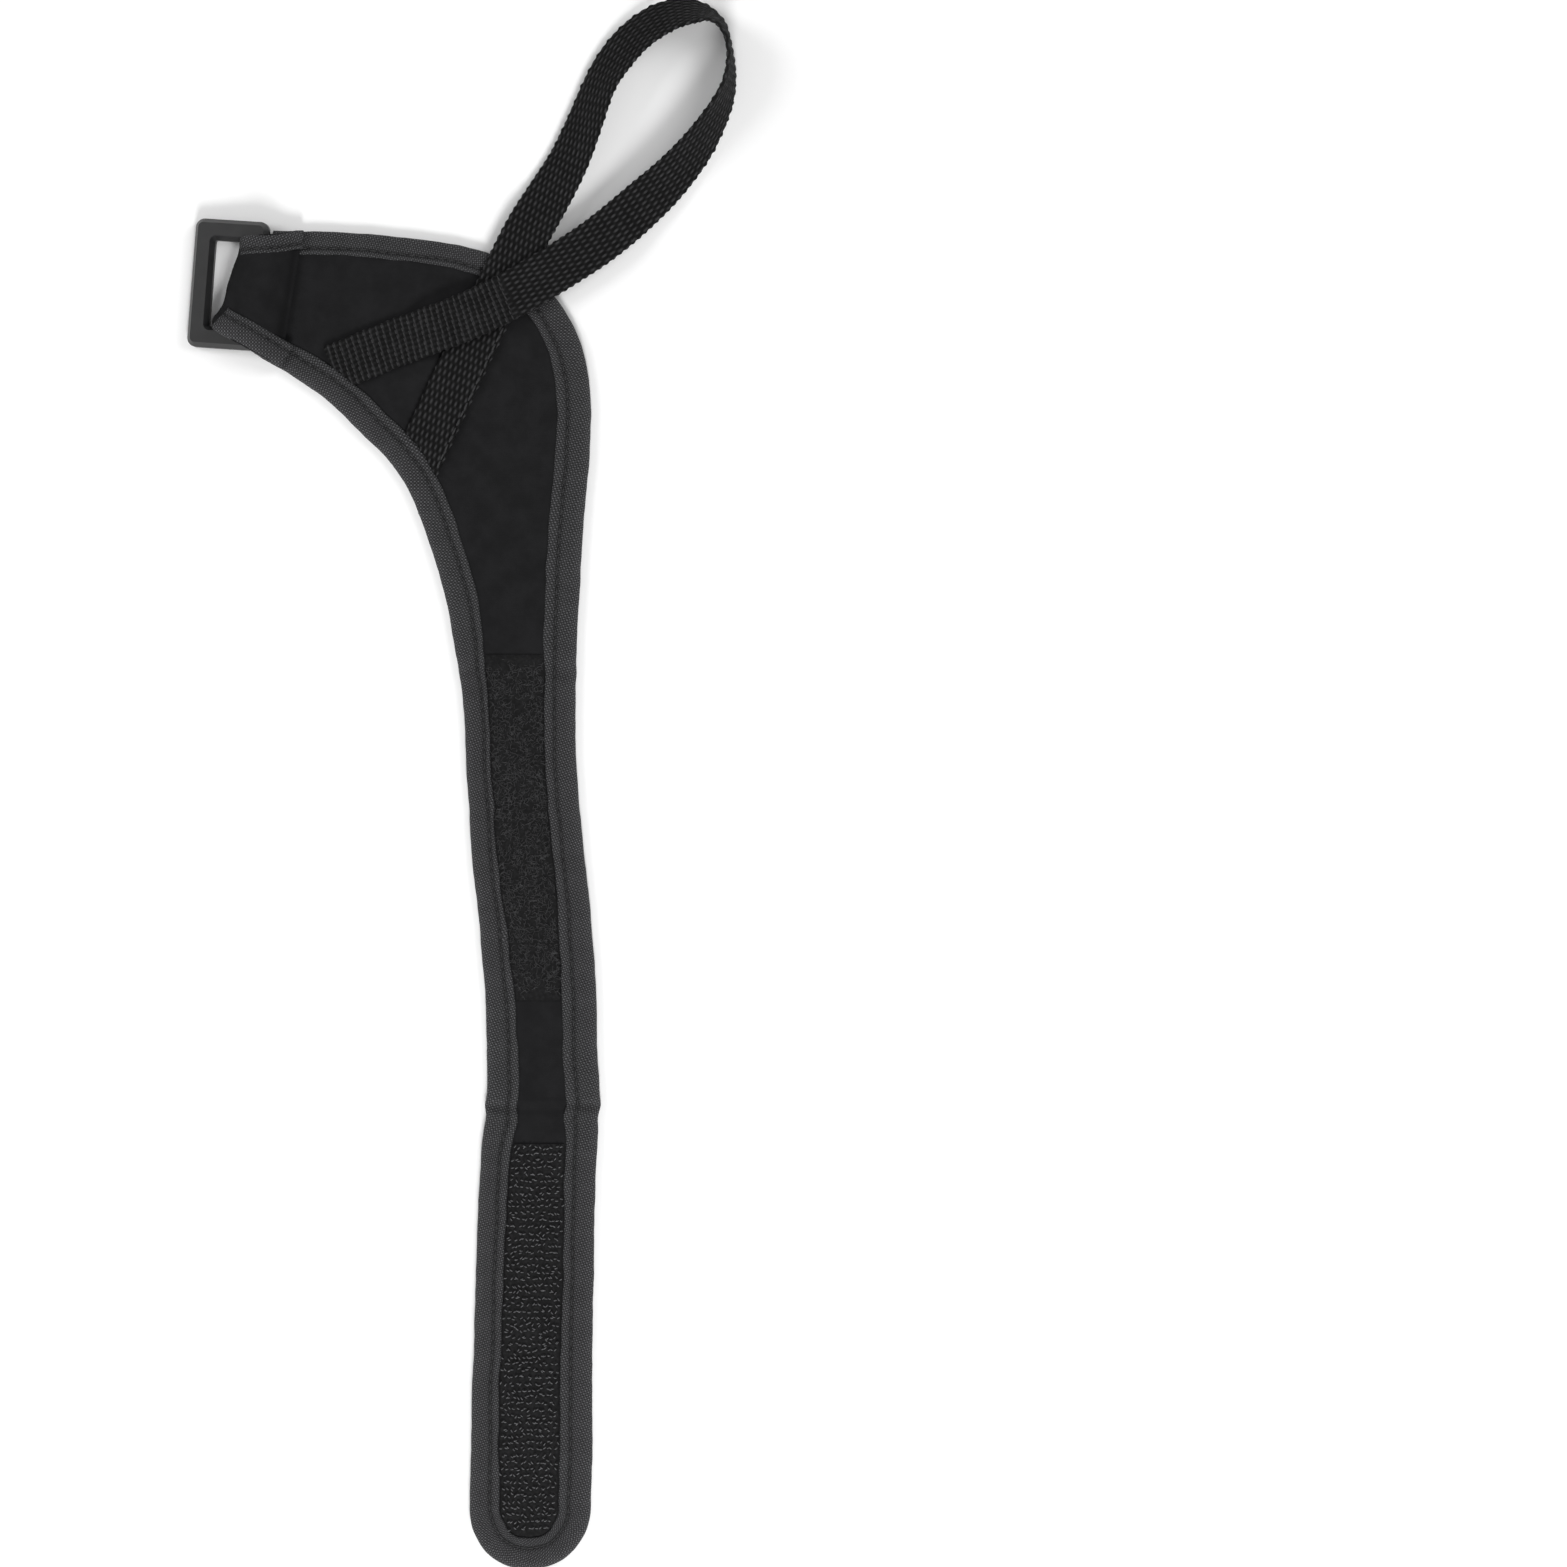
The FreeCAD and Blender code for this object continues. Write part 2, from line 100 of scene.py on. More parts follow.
# Webbing: x, y, height of the middle, and roll in degrees that dips the edge facing out of the loop.
# A height given as a word is one of WEB_LEVELS.
WEB_ROUTE = [
    (-14.6, -21.5, "panel", 0), (-4.4, 0.4, "panel", 0), (2.7, 15.3, "panel", 0), (7.0, 24.1, "edge", 0),
    (14.3, 39.2, "edge", 0), (20.3, 49.6, 3.0, 14), (26.4, 60.3, 4.1, 29), (30.2, 69.3, 4.95, 38),
    (34.0, 78.8, 5.3, 43), (39.8, 87.7, 4.9, 38), (47.9, 94.7, 5.0, 39), (56.9, 97.4, 5.7, 50),
    (63.9, 95.7, 6.2, 74), (67.3, 88.9, 6.4, 87), (67.6, 80.6, 6.3, 80), (65.5, 73.3, 6.0, 68),
    (60.8, 65.0, 5.4, 54), (52.2, 54.6, 4.6, 36), (42.9, 46.0, 4.2, 16), (34.3, 38.8, "over", 4),
    (25.7, 33.0, "over", 0), (15.1, 26.6, "over", 0), (4.5, 21.0, "over", 0), (-7.5, 16.0, "over", 0),
    (-16.5, 12.9, "panel", 0), (-24.5, 9.8, "panel", 0), (-35.5, 5.2, "panel", 0)]


# ---- sizes and colours that a user can change ----------------------------------------------------
def length(name, text, default):
    return FloatProperty(name=name, description=text, default=default * MM, unit="LENGTH", precision=5)


def colour(name, text, default):
    return FloatVectorProperty(name=name, description=text, default=default, subtype="COLOR", size=3,
                               min=0.0, max=1.0)


class LaminateSizes(bpy.types.PropertyGroup):
    panel: length("Panel", "Thickness of the face, foam and lining together", 2.2)
    puff: length("Binding height", "Height of the binding's padded strip over the table", 2.86)
    groove: length("Groove height", "Height of the sewn groove over the table", 2.32)
    lip: length("Lip height", "Height of the narrow strip inside the groove", 2.72)
    stitch: length("Stitch pitch", "Distance from one stitch to the next", 2.6)


class WebbingSizes(bpy.types.PropertyGroup):
    width: length("Width", "Width of the webbing", 12.3)
    thick: length("Thickness", "Thickness of the webbing without its weave", 1.05)
    row: length("Row pitch", "Distance along the webbing between two rows of its weave", 2.06)
    yarn: length("Yarn pitch", "Distance across the webbing between two yarns", 1.35)
    crown: length("Crown", "Height of a yarn over the gaps beside it", 0.36)


class ClosureSizes(bpy.types.PropertyGroup):
    hook_row: length("Hook row pitch", "Distance between two rows of hooks", 1.7)
    hook_pitch: length("Hook pitch", "Distance between two hooks in a row", 1.0)
    hook_height: length("Hook height", "Height of a hook over its tape", 0.75)
    pile: IntProperty(name="Loops", description="Loops of pile on each tenth of a metre", default=3400, min=0)


class Finishes(bpy.types.PropertyGroup):
    knit: colour("Knit", "Smooth knit of the face and the lining", (0.0098, 0.0098, 0.0104))
    tape: colour("Binding", "Twill binding tape", (0.031, 0.031, 0.0325))
    yarn: colour("Webbing", "Webbing yarn", (0.0175, 0.0175, 0.0182))
    pile: colour("Pile", "Loops and hooks", (0.0165, 0.0165, 0.0173))
    thread: colour("Thread", "Sewing thread", (0.022, 0.022, 0.023))
    plastic: colour("Plastic", "Moulded ring", (0.0112, 0.0112, 0.0117))
    floor: colour("Floor", "Floor", (0.93, 0.93, 0.93))


class StageSizes(bpy.types.PropertyGroup):
    view: length("View", "Width of the floor that the camera sees", 407.4)
    lens: FloatProperty(name="Lens", description="Focal length in millimetres", default=110.0, min=20.0)


# ---- curves --------------------------------------------------------------------------------------
def smooth_values(marks, values, at):
    """Natural cubic spline through the values at the marks, read at other marks."""
    marks, values, at = (np.asarray(x, float) for x in (marks, values, at))
    gaps = np.diff(marks)
    count = len(marks)
    system, right = np.eye(count), np.zeros_like(values)
    for i in range(1, count - 1):
        system[i, i - 1:i + 2] = gaps[i - 1], 2 * (gaps[i - 1] + gaps[i]), gaps[i]
        right[i] = 6 * ((values[i + 1] - values[i]) / gaps[i] - (values[i] - values[i - 1]) / gaps[i - 1])
    bend = np.linalg.solve(system, right)
    i = np.clip(np.searchsorted(marks, at) - 1, 0, count - 2)
    gap = gaps[i].reshape((-1,) + (1,) * (values.ndim - 1))
    ahead = ((marks[i + 1] - at) / gaps[i]).reshape(gap.shape)
    behind = 1 - ahead
    return (ahead * values[i] + behind * values[i + 1]
            + ((ahead ** 3 - ahead) * bend[i] + (behind ** 3 - behind) * bend[i + 1]) * gap ** 2 / 6)


def eased_values(marks, values, at):
    """Smooth curve through the values that never overshoots them."""
    marks, values = np.asarray(marks, float), np.asarray(values, float)
    gaps = np.diff(marks)
    rises = np.diff(values) / gaps
    slopes = np.zeros(len(values))
    same = rises[1:] * rises[:-1] > 0
    both = np.where(same, rises[1:] + rises[:-1], 1)
    slopes[1:-1] = np.where(same, 2 * rises[1:] * rises[:-1] / both, 0)
    i = np.clip(np.searchsorted(marks, at) - 1, 0, len(gaps) - 1)
    s = (at - marks[i]) / gaps[i]
    return (values[i] * (s * s * (2 * s - 3) + 1) + values[i + 1] * s * s * (3 - 2 * s)
            + gaps[i] * (slopes[i] * s * (s - 1) ** 2 + slopes[i + 1] * s * s * (s - 1)))


def ripple(along, wavelength, seed):
    """Gentle irregular wave between about -1 and 1."""
    chance = random.Random(seed)
    total = 0
    for _ in range(5):
        total = total + np.sin(2 * np.pi * (along / (wavelength * (0.6 + 1.2 * chance.random()))
                                            + chance.random()))
    return total / 3


def bump_at(along, centre, width):
    return np.exp(-((along - centre) / width) ** 2)


def running_length(points):
    """Distance from the first point to each point, along the line through them."""
    return np.r_[0, np.cumsum(np.linalg.norm(np.diff(points, axis=0), axis=1))]


class EvenPath:
    """A smooth flat path sampled at even steps, with its direction and the normal on its right."""
    FINE = 8     # samples a millimetre that its length is measured with

    def __init__(self, points, step):
        points = np.asarray(points, float)
        self.marks_at = running_length(points)
        fine = np.linspace(0, self.marks_at[-1], int(self.marks_at[-1] * self.FINE))
        run = smooth_values(self.marks_at, points, fine)
        arc = running_length(run)
        self.s = np.linspace(0, arc[-1], int(arc[-1] / step) + 1)
        self.marks = np.interp(self.s, arc, fine)
        self.xy = smooth_values(self.marks_at, points, self.marks)
        along = np.gradient(self.xy, self.s, axis=0)
        self.along = along / np.linalg.norm(along, axis=1)[:, None]
        self.right = np.c_[self.along[:, 1], -self.along[:, 0]]


def strap_outline():
    """All points of the cut edge, with their groove and line distances."""
    top = WRAP_Y[0]
    outer = [(x + w / 2, top + y, g, k) for y, x, w, g, k, _, _ in STRAP_STATIONS]
    inner = [(x - w / 2, top + y, g, k) for y, x, w, _, _, g, k in STRAP_STATIONS]
    middle, half = TIP_MIDDLE
    tip = [(middle + half * a, TIP_Y + up, *TIP_BINDING) for a, up in TIP_SHARE]
    return PALM_EDGE + outer + tip + inner[::-1] + HOLLOW_EDGE


class CutEdge:
    """The strap's edge, sampled for its binding."""

    def __init__(self, step):
        points = strap_outline()
        path = EvenPath([p[:2] for p in points], step)
        self.path, self.s, self.xy, self.inward = path, path.s, path.xy, path.right
        self.groove = eased_values(path.marks_at, [p[2] for p in points], path.marks)
        self.line = eased_values(path.marks_at, [p[3] for p in points], path.marks)
        self.turn = int(np.argmin(self.xy[:, 1]))
        # The cloth is creased where the tail is folded, and where the strap leaves the palm.
        y = self.xy[:, 1]
        crease = bump_at(y, FOLD_Y + 0.5, 1.6) - 0.8 * bump_at(y, FOLD_Y - 3.5, 2.2)
        crease = crease + 0.5 * bump_at(y, WRAP_Y[0] - 9, 2.0)
        wobble = 0.10 * ripple(self.s, 26, 3) + 0.05 * ripple(self.s, 7, 4)
        self.xy = self.xy - self.inward * (0.32 * crease + wobble)[:, None]
        self.groove = self.groove + 0.12 * ripple(self.s, 18, 5)
        self.line = self.line + 0.16 * ripple(self.s, 15, 6)


EDGE_STEP = 0.52     # between two sections of the binding
EDGE = CutEdge(EDGE_STEP)
SIDES = ("outer", "inner")
SPANS = [("palm", "strap_1"), ("strap_1", "strap_2"), ("strap_2", "strap_3"), ("strap_3", "strap_4"),
         ("strap_4", "tail")]
TAIL = len(SPANS) - 1
HINGE_Y = WRAP_Y + [FOLD_Y]
BEYOND = (200.0, -400.0)                # past the two ends of the strap
CUT_Y = [BEYOND[0]] + [(a + b) / 2 for a, b in zip(HINGE_Y, HINGE_Y[1:])] + [BEYOND[1]]
BEND_HALF = [9.0, 9.0, 9.0, 9.0, 4.6]   # half length of the cloth that turns at each joint


def bend_over(piece, span):
    """Bakes the place of a piece of the strap into its mesh."""
    y, half = HINGE_Y[span], BEND_HALF[span]
    (y + half) * MM
    (y - half) * MM
    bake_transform(piece)


# ---- mesh ----------------------------------------------------------------------------------------
SHARP = 62.0     # degrees between two faces that meet in a sharp edge


def make_piece(name, points, faces, cloth=None, crest=None, material=None):
    """Mesh piece from points in millimetres. cloth is the weave's own place of each point, also in
    millimetres, and crest how high each point stands in it, from 0 to 1; the finishes paint shade where
    it is low and highlight where it is high, and on the flap's face it marks a band of painted shade."""
    mesh = bpy.data.meshes.new(name)
    mesh.from_pydata((np.asarray(points, float) * MM).tolist(), [], faces)
    corners = np.empty(len(mesh.loops), int)
    mesh.loops.foreach_get("vertex_index", corners)
    if cloth is not None:
        layer = mesh.uv_layers.new(name="cloth")
        layer.data.foreach_set("uv", np.asarray(cloth, np.float32)[corners].ravel())
    if crest is not None:
        mark = mesh.attributes.new("crest", "FLOAT", "POINT")
        mark.data.foreach_set("value", np.asarray(crest, np.float32))
    mesh.polygons.foreach_set("use_smooth", [True] * len(mesh.polygons))
    if material:
        mesh.materials.append(material)
    mesh.set_sharp_from_angle(angle=math.radians(SHARP))
    mesh.update()
    piece = bpy.data.objects.new(name, mesh)
    bpy.context.scene.collection.objects.link(piece)
    return piece


def grid_faces(rows, columns, closed=False, first=0, flip=False):
    """Quads of a grid of points. closed joins the last column to the first."""
    i = np.arange(rows - 1)[:, None]
    j = np.arange(columns if closed else columns - 1)[None, :]
    k = (j + 1) % columns
    quads = np.stack([i * columns + j, i * columns + k, (i + 1) * columns + k, (i + 1) * columns + j], -1)
    quads = quads.reshape(-1, 4) + first
    return (quads[:, ::-1] if flip else quads).tolist()


def tube_faces(rows, columns):
    """A closed sweep: sides, and a cap at each end."""
    start, end = list(range(columns)), list(range((rows - 1) * columns, rows * columns))
    return grid_faces(rows, columns, True) + [start, end[::-1]]


def slab_mesh(top, bottom, uv):
    """Closed slab between two grids of points of the same shape."""
    rows, columns = top.shape[:2]
    count = rows * columns
    faces = grid_faces(rows, columns) + grid_faces(rows, columns, False, count, True)
    rim = (list(range(columns)) + [i * columns + columns - 1 for i in range(1, rows)]
           + [(rows - 1) * columns + j for j in range(columns - 2, -1, -1)]
           + [i * columns for i in range(rows - 2, 0, -1)])
    faces += [[b, a, a + count, b + count] for a, b in zip(rim, rim[1:] + rim[:1])]
    points = np.r_[top.reshape(-1, 3), bottom.reshape(-1, 3)]
    cloth = np.r_[uv.reshape(-1, 2), uv.reshape(-1, 2)]
    return points, faces, cloth


def facing_out(piece):
    """Turns every face of a closed piece outwards."""
    shell = bmesh.new()
    shell.from_mesh(piece.data)
    bmesh.ops.recalc_face_normals(shell, faces=shell.faces)
    shell.to_mesh(piece.data)
    shell.free()
    piece.data.set_sharp_from_angle(angle=math.radians(SHARP))
    return piece


def flat_piece(name, x, y, top, under, finish):
    """Closed piece over a grid of x and y, between an upper and a lower height."""
    layers = [np.stack([x, y, level + 0 * x], -1) for level in (top, under)]
    points, faces, cloth = slab_mesh(*layers, np.stack([x, y], -1))
    return facing_out(make_piece(name, points, faces, cloth, material=finish))


def many_tubes(paths, radius, sides):
    """Points and faces of many thin closed tubes. paths holds one row of points for each tube, and
    radius one number for each of its points."""
    count, steps = paths.shape[:2]
    along = np.gradient(paths, axis=1)
    along /= np.linalg.norm(along, axis=2)[:, :, None] + 1e-9
    helper = np.where(np.abs(along[..., 2:3]) > 0.9, [[[1.0, 0, 0]]], [[[0, 0, 1.0]]])
    side = np.cross(along, helper)
    side /= np.linalg.norm(side, axis=2)[:, :, None] + 1e-9
    up = np.cross(side, along)
    angle = np.arange(sides) * 2 * np.pi / sides
    ring = (np.cos(angle)[:, None] * side[:, :, None, :] + np.sin(angle)[:, None] * up[:, :, None, :])
    points = paths[:, :, None, :] + ring * np.asarray(radius)[:, None, None]
    base = np.array(grid_faces(steps, sides, True), int)
    caps = np.array([list(range(sides))[::-1], list(range((steps - 1) * sides, steps * sides))], int)
    offsets = np.arange(count) * steps * sides
    faces = (base[None] + offsets[:, None, None]).reshape(-1, 4).tolist()
    faces += (caps[None] + offsets[:, None, None]).reshape(-1, sides).tolist()
    return points.reshape(-1, 3), faces


# ---- finishes ------------------------------------------------------------------------------------
class Wired:
    """A shader socket that is worked with like a number. Each sum on it adds its Math node."""

    def __init__(self, look, socket):
        self.look, self.socket = look, socket

    def maths(self, operation, *values):
        return self.look.node("ShaderNodeMath", {"operation": operation}, dict(enumerate(values)))

    def __add__(self, other):
        return self.maths("ADD", self, other)

    def __sub__(self, other):
        return self.maths("SUBTRACT", self, other)

    def __rsub__(self, other):
        return self.maths("SUBTRACT", other, self)

    def __mul__(self, other):
        return self.maths("MULTIPLY", self, other)

    __radd__, __rmul__ = __add__, __mul__

    def sine(self):
        return self.maths("SINE", self)

    def wave(self, pitch):
        """Sine wave that repeats every pitch."""
        return (self * (2 * math.pi / pitch)).sine()

    def between(self, low, high):
        """0 under low, 1 over high, and smooth in between."""
        return self.look.node("ShaderNodeMapRange", {"interpolation_type": "SMOOTHSTEP"},
                              {"Value": self, "From Min": low, "From Max": high})


class Look:
    """A procedural finish whose nodes are written as expressions."""

    def __init__(self, name):
        self.material = bpy.data.materials.new(name)
        self.material.use_nodes = True
        self.tree = self.material.node_tree
        self.tree.nodes.clear()

    def node(self, kind, settings, inputs, output=0):
        made = self.tree.nodes.new(kind)
        for key, value in settings.items():
            setattr(made, key, value)
        for key, value in inputs.items():
            if isinstance(value, Wired):
                self.tree.links.new(value.socket, made.inputs[key])
            else:
                made.inputs[key].default_value = value
        return Wired(self, made.outputs[output])

    def cloth(self):
        """Place in the cloth in millimetres: along it and across it."""
        place = self.node("ShaderNodeUVMap", {"uv_map": "cloth"}, {})
        along = self.node("ShaderNodeSeparateXYZ", {}, {"Vector": place})
        return place, along, Wired(self, along.socket.node.outputs["Y"])

    def solid(self):
        """Place in the piece, in metres."""
        return self.node("ShaderNodeTexCoord", {}, {}, "Object")

    def crest(self):
        return self.node("ShaderNodeAttribute", {"attribute_name": "crest"}, {}, "Fac")

    def noise(self, place, scale, detail=2.0, rough=0.5):
        return self.node("ShaderNodeTexNoise", {}, {"Vector": place, "Scale": scale, "Detail": detail,
                                                    "Roughness": rough}, "Fac")

    def cells(self, place, scale):
        return self.node("ShaderNodeTexVoronoi", {}, {"Vector": place, "Scale": scale}, "Distance")

    def blend(self, share, first, second):
        """Mix of two colours. A plain colour is a tuple of three."""
        first, second = (x if isinstance(x, Wired) else (*x, 1.0) for x in (first, second))
        return self.node("ShaderNodeMix", {"data_type": "RGBA"}, {0: share, 6: first, 7: second}, 2)

    def bump(self, height, distance, strength=1.0, under=None):
        inputs = {"Height": height, "Distance": distance * MM, "Strength": strength}
        if under:
            inputs["Normal"] = under
        return self.node("ShaderNodeBump", {}, inputs)

    def done(self, **sockets):
        """Principled surface. The keywords are its sockets, with _ for a space."""
        inputs = {key.replace("_", " "): value for key, value in sockets.items()}
        surface = self.node("ShaderNodeBsdfPrincipled", {}, inputs)
        output = self.tree.nodes.new("ShaderNodeOutputMaterial")
        self.tree.links.new(surface.socket, output.inputs["Surface"])
        return self.material


def shade(tint, times):
    return tuple(min(1.0, c * times) for c in tint)


def shared(make):
    """Makes a finish once for each name. Every piece that has it shares it."""
    def kept(name, *values):
        name = f"cuff_{name}"
        return bpy.data.materials.get(name) or make(Look(name), *values)
    return kept


# Pitches of the weaves in millimetres.
WALE, COURSE = 0.42, 0.5     # knit, across it and along it
RIB, WEFT = 0.92, 0.98       # twill, along each diagonal
STRAND = 0.6                 # fibres twisted into a webbing yarn
PLY = 0.45                   # twist of the sewing thread


@shared
def knit_finish(look, tint, sheen):
    """Smooth warp knit: fine wales, faint mottling, a little lint, and painted shade where a piece's crest
    attribute is set.
    """
    place, along, across = look.cloth()
    wale = across.wave(WALE)
    loop = (along * (2 * math.pi / COURSE) + wale * 1.2).sine()
    knit = wale * 0.5 + loop * 0.35
    mottle = look.noise(place, 0.16, 4.0, 0.6)
    fleck = look.noise(place, 2.4, 2.0).between(0.70, 0.80)
    base = look.blend(mottle.between(0.3, 0.7), shade(tint, 0.82), shade(tint, 1.22))
    base = look.blend(fleck * 0.35, base, shade(tint, 2.6))
    # Painted shade where the crest attribute is set: the band along the flap's sewn-down end.
    base = look.blend(look.crest() * 0.6, base, shade(tint, 0.25))
    fibre = look.noise(place, 5.0, 3.0, 0.7)
    normal = look.bump(knit * 0.5 + fibre * 0.6, 0.05, 0.7)
    return look.done(Base_Color=base, Roughness=0.80 + 0.12 * mottle, Normal=normal,
                     Specular_IOR_Level=0.10, Sheen_Weight=sheen * 0.02, Sheen_Roughness=0.5)


@shared
def twill_finish(look, tint):
    """Polyester twill tape: fine diagonal ribs, paler rubbed patches where the tape bulges, painted highlight
    on the bulge and painted shade in its groove.
    """
    place, along, across = look.cloth()
    sway = look.noise(place, 0.5, 2.0) * 0.9
    rib = (along + across * 0.5 + sway * 0.3).wave(RIB)
    weft = (across - along * 0.5).wave(WEFT)
    weave = rib * weft * 0.8 + rib * 0.25
    crest = look.crest()
    tone_mask = look.noise(place, 0.35, 4.0, 0.65)
    # Painted shade where the crest is low, in the sewn groove and at the inner line, and painted highlight on
    # the bulge; the ribs are painted paler on the bulge too.
    base = look.blend(crest, shade(tint, 0.26), shade(tint, 1.22))
    base = look.blend((weave * -0.5 + 0.5) * 0.85, base, shade(tint, 0.12))
    base = look.blend(weave.between(0.05, 0.7) * (crest * 0.7 + 0.25), base, shade(tint, 4.2))
    base = look.blend(tone_mask.between(0.35, 0.75) * crest * 0.35, base, shade(tint, 1.7))
    fleck = look.noise(place, 2.1, 2.0).between(0.72, 0.80)
    base = look.blend(fleck * 0.35, base, shade(tint, 3.0))
    fibre = look.noise(place, 4.0, 3.0, 0.7)
    normal = look.bump(weave * 0.6 + fibre * 0.5, 0.14, 0.9)
    return look.done(Base_Color=base, Roughness=0.72 + 0.12 * tone_mask, Normal=normal,
                     Specular_IOR_Level=0.24, Sheen_Weight=0.012, Sheen_Roughness=0.4)


@shared
def webbing_finish(look, tint):
    """Spun webbing yarn: painted highlight on the crowns, painted shade in the gaps, fine fibres along each
    yarn.
    """
    place, along, across = look.cloth()
    crest = look.crest()
    patch = look.noise(place, 0.22, 3.0, 0.6)
    fibre = look.noise(place, 3.2, 4.0, 0.75)
    strand = (across * 2.2 + along * 0.8 + fibre * 2.0).wave(STRAND)
    # Painted shade in the gaps between the yarns and painted highlight on their crowns; the paler patches and
    # strands are painted on the crowns only.
    base = look.blend(crest.between(0.25, 1.05), shade(tint, 0.02), shade(tint, 2.1))
    base = look.blend(patch.between(0.35, 0.7) * crest * 0.4, base, shade(tint, 2.9))
    base = look.blend((strand * 0.5 + 0.5) * crest * 0.35, base, shade(tint, 3.8))
    normal = look.bump(strand * 0.35 + fibre * 0.8, 0.12, 0.8)
    return look.done(Base_Color=base, Roughness=0.62 + 0.16 * fibre, Normal=normal,
                     Specular_IOR_Level=0.18, Sheen_Weight=0.01, Sheen_Roughness=0.4)


@shared
def pile_finish(look, tint, fuzzy, times):
    """Ground of a closure tape, with uneven tufts."""
    place = look.cloth()[0]
    tuft = look.cells(place, 1.1)
    fibre = look.noise(place, 2.6, 4.0, 0.75)
    patch = look.noise(place, 0.12, 3.0)
    base = look.blend(tuft.between(0.1, 0.8), shade(tint, times), shade(tint, 0.38 * times))
    base = look.blend(fibre.between(0.45, 0.75) * 0.5, base, shade(tint, 1.7 * times))
    base = look.blend(patch.between(0.4, 0.7) * 0.25, base, shade(tint, 1.4 * times))
    normal = look.bump(fibre - tuft * 0.7, 0.30 * fuzzy, 0.9)
    return look.done(Base_Color=base, Roughness=0.80 + 0.12 * fibre, Normal=normal,
                     Specular_IOR_Level=0.2, Sheen_Weight=0.015 * fuzzy, Sheen_Roughness=0.5)


@shared
def fibre_finish(look, tint, times, roughness=0.6):
    """Nylon of the closure's loops and hooks, each a little paler or darker than the next."""
    place = look.solid()
    patch = look.noise(place, 900.0, 3.0, 0.7)
    base = look.blend(patch.between(0.35, 0.7), shade(tint, times * 0.7), shade(tint, times * 1.4))
    normal = look.bump(look.noise(place, 6000.0, 2.0), 0.02, 0.5)
    return look.done(Base_Color=base, Roughness=roughness + 0.1 * patch, Normal=normal,
                     Specular_IOR_Level=0.4)


@shared
def thread_finish(look, tint, times=1.0):
    """Bonded sewing thread, with the twist of its plies."""
    place, along, across = look.cloth()
    ply = (along + across).wave(PLY)
    wear = look.noise(place, 0.6, 2.0)
    base = look.blend(ply * 0.5 + 0.5, shade(tint, 0.7 * times), shade(tint, 1.4 * times))
    normal = look.bump(ply, 0.06, 0.7)
    return look.done(Base_Color=base, Roughness=0.5 + 0.2 * wear, Normal=normal,
                     Specular_IOR_Level=0.4)


@shared
def plastic_finish(look, tint):
    """Satin moulded acetal: fine spark-eroded grain and small paler scuffs."""
    place = look.solid()
    grain = look.noise(place, 2600.0, 3.0, 0.6)
    cloud = look.noise(place, 120.0, 3.0, 0.55)
    scuff = look.noise(place, 700.0, 4.0, 0.8).between(0.66, 0.74)
    base = look.blend(cloud.between(0.3, 0.7), shade(tint, 0.86), shade(tint, 1.16))
    base = look.blend(scuff * 0.35, base, shade(tint, 2.2))
    normal = look.bump(grain, 0.035, 0.6)
    return look.done(Base_Color=base, Roughness=0.36 + 0.10 * cloud + 0.10 * scuff, Normal=normal,
                     Specular_IOR_Level=0.5)


@shared
def floor_finish(look, tint):
    """Matt white paper."""
    place = look.solid()
    tooth = look.noise(place, 400.0, 3.0)
    base = look.blend(tooth, shade(tint, 0.995), shade(tint, 1.005))
    return look.done(Base_Color=base, Roughness=0.95, Specular_IOR_Level=0.1)


# ---- strap: panel, lining, binding, stitches -----------------------------------------------------
def ring_place(xy):
    """Place in the ring's own directions: across its bar, then along it."""
    off = np.asarray(xy, float)[..., :2] - np.array(BAR[:2])
    return np.stack([off @ np.array(BAR_ACROSS[:2]), off @ np.array(BAR_ALONG[:2])], -1)


def from_ring(u, v, z):
    across, along = np.array(BAR_ACROSS[:2]), np.array(BAR_ALONG[:2])
    xy = np.array(BAR[:2]) + np.asarray(u)[..., None] * across + np.asarray(v)[..., None] * along
    return np.concatenate([xy, np.broadcast_to(np.asarray(z, float), xy.shape[:-1])[..., None]], -1)


PANEL_START = 4.0    # from the bar's axis to where the flat panel starts, under the flap
TUCK = 1.0           # how far the panel goes under the binding
FACE_UNDER = 0.34    # underside of the face and foam
LINING_TOP = 0.4
ROW_FAR = 1.6        # between two rows of the panel, away from a joint
ROW_NEAR = (0.8, 0.8, 0.8, 0.8, 0.45)      # and by each joint
COLUMNS = 34


def runs_of(span):
    """First and last section of the binding, on each side of the strap, that belong to a span."""
    y = EDGE.xy[:, 1]
    low, high = CUT_Y[span + 1], CUT_Y[span]
    keep = (y <= high) & (y >= low) & (ring_place(EDGE.xy)[:, 0] >= PANEL_START - 0.5)
    index = np.nonzero(keep)[0]
    if span == TAIL:
        return [(index[0] - 1, index[-1] + 1)]
    outer, inner = index[index < EDGE.turn], index[index > EDGE.turn]
    if span == 0:
        return [(outer[0], outer[-1]), (inner[0], inner[-1])]
    return [(outer[0] - 1, outer[-1]), (inner[0], inner[-1] + 1)]


def inset_edge(offset):
    """The binding's inner line, moved in by offset."""
    return EDGE.xy + EDGE.inward * (EDGE.line + offset)[:, None]


def row_limits(offset):
    """Left and right x of the strap at a height y, with the binding's line moved in by offset."""
    inset = inset_edge(offset)
    outer, inner = inset[:EDGE.turn], inset[EDGE.turn:]

    def at(y):
        right = np.interp(-y, -outer[:, 1], outer[:, 0])
        left = np.interp(y, inner[:, 1], inner[:, 0])
        slope = BAR_ALONG.x / BAR_ALONG.y
        bar = BAR.x + (y - BAR.y) * slope + PANEL_START
        return np.maximum(left, bar), right
    return at


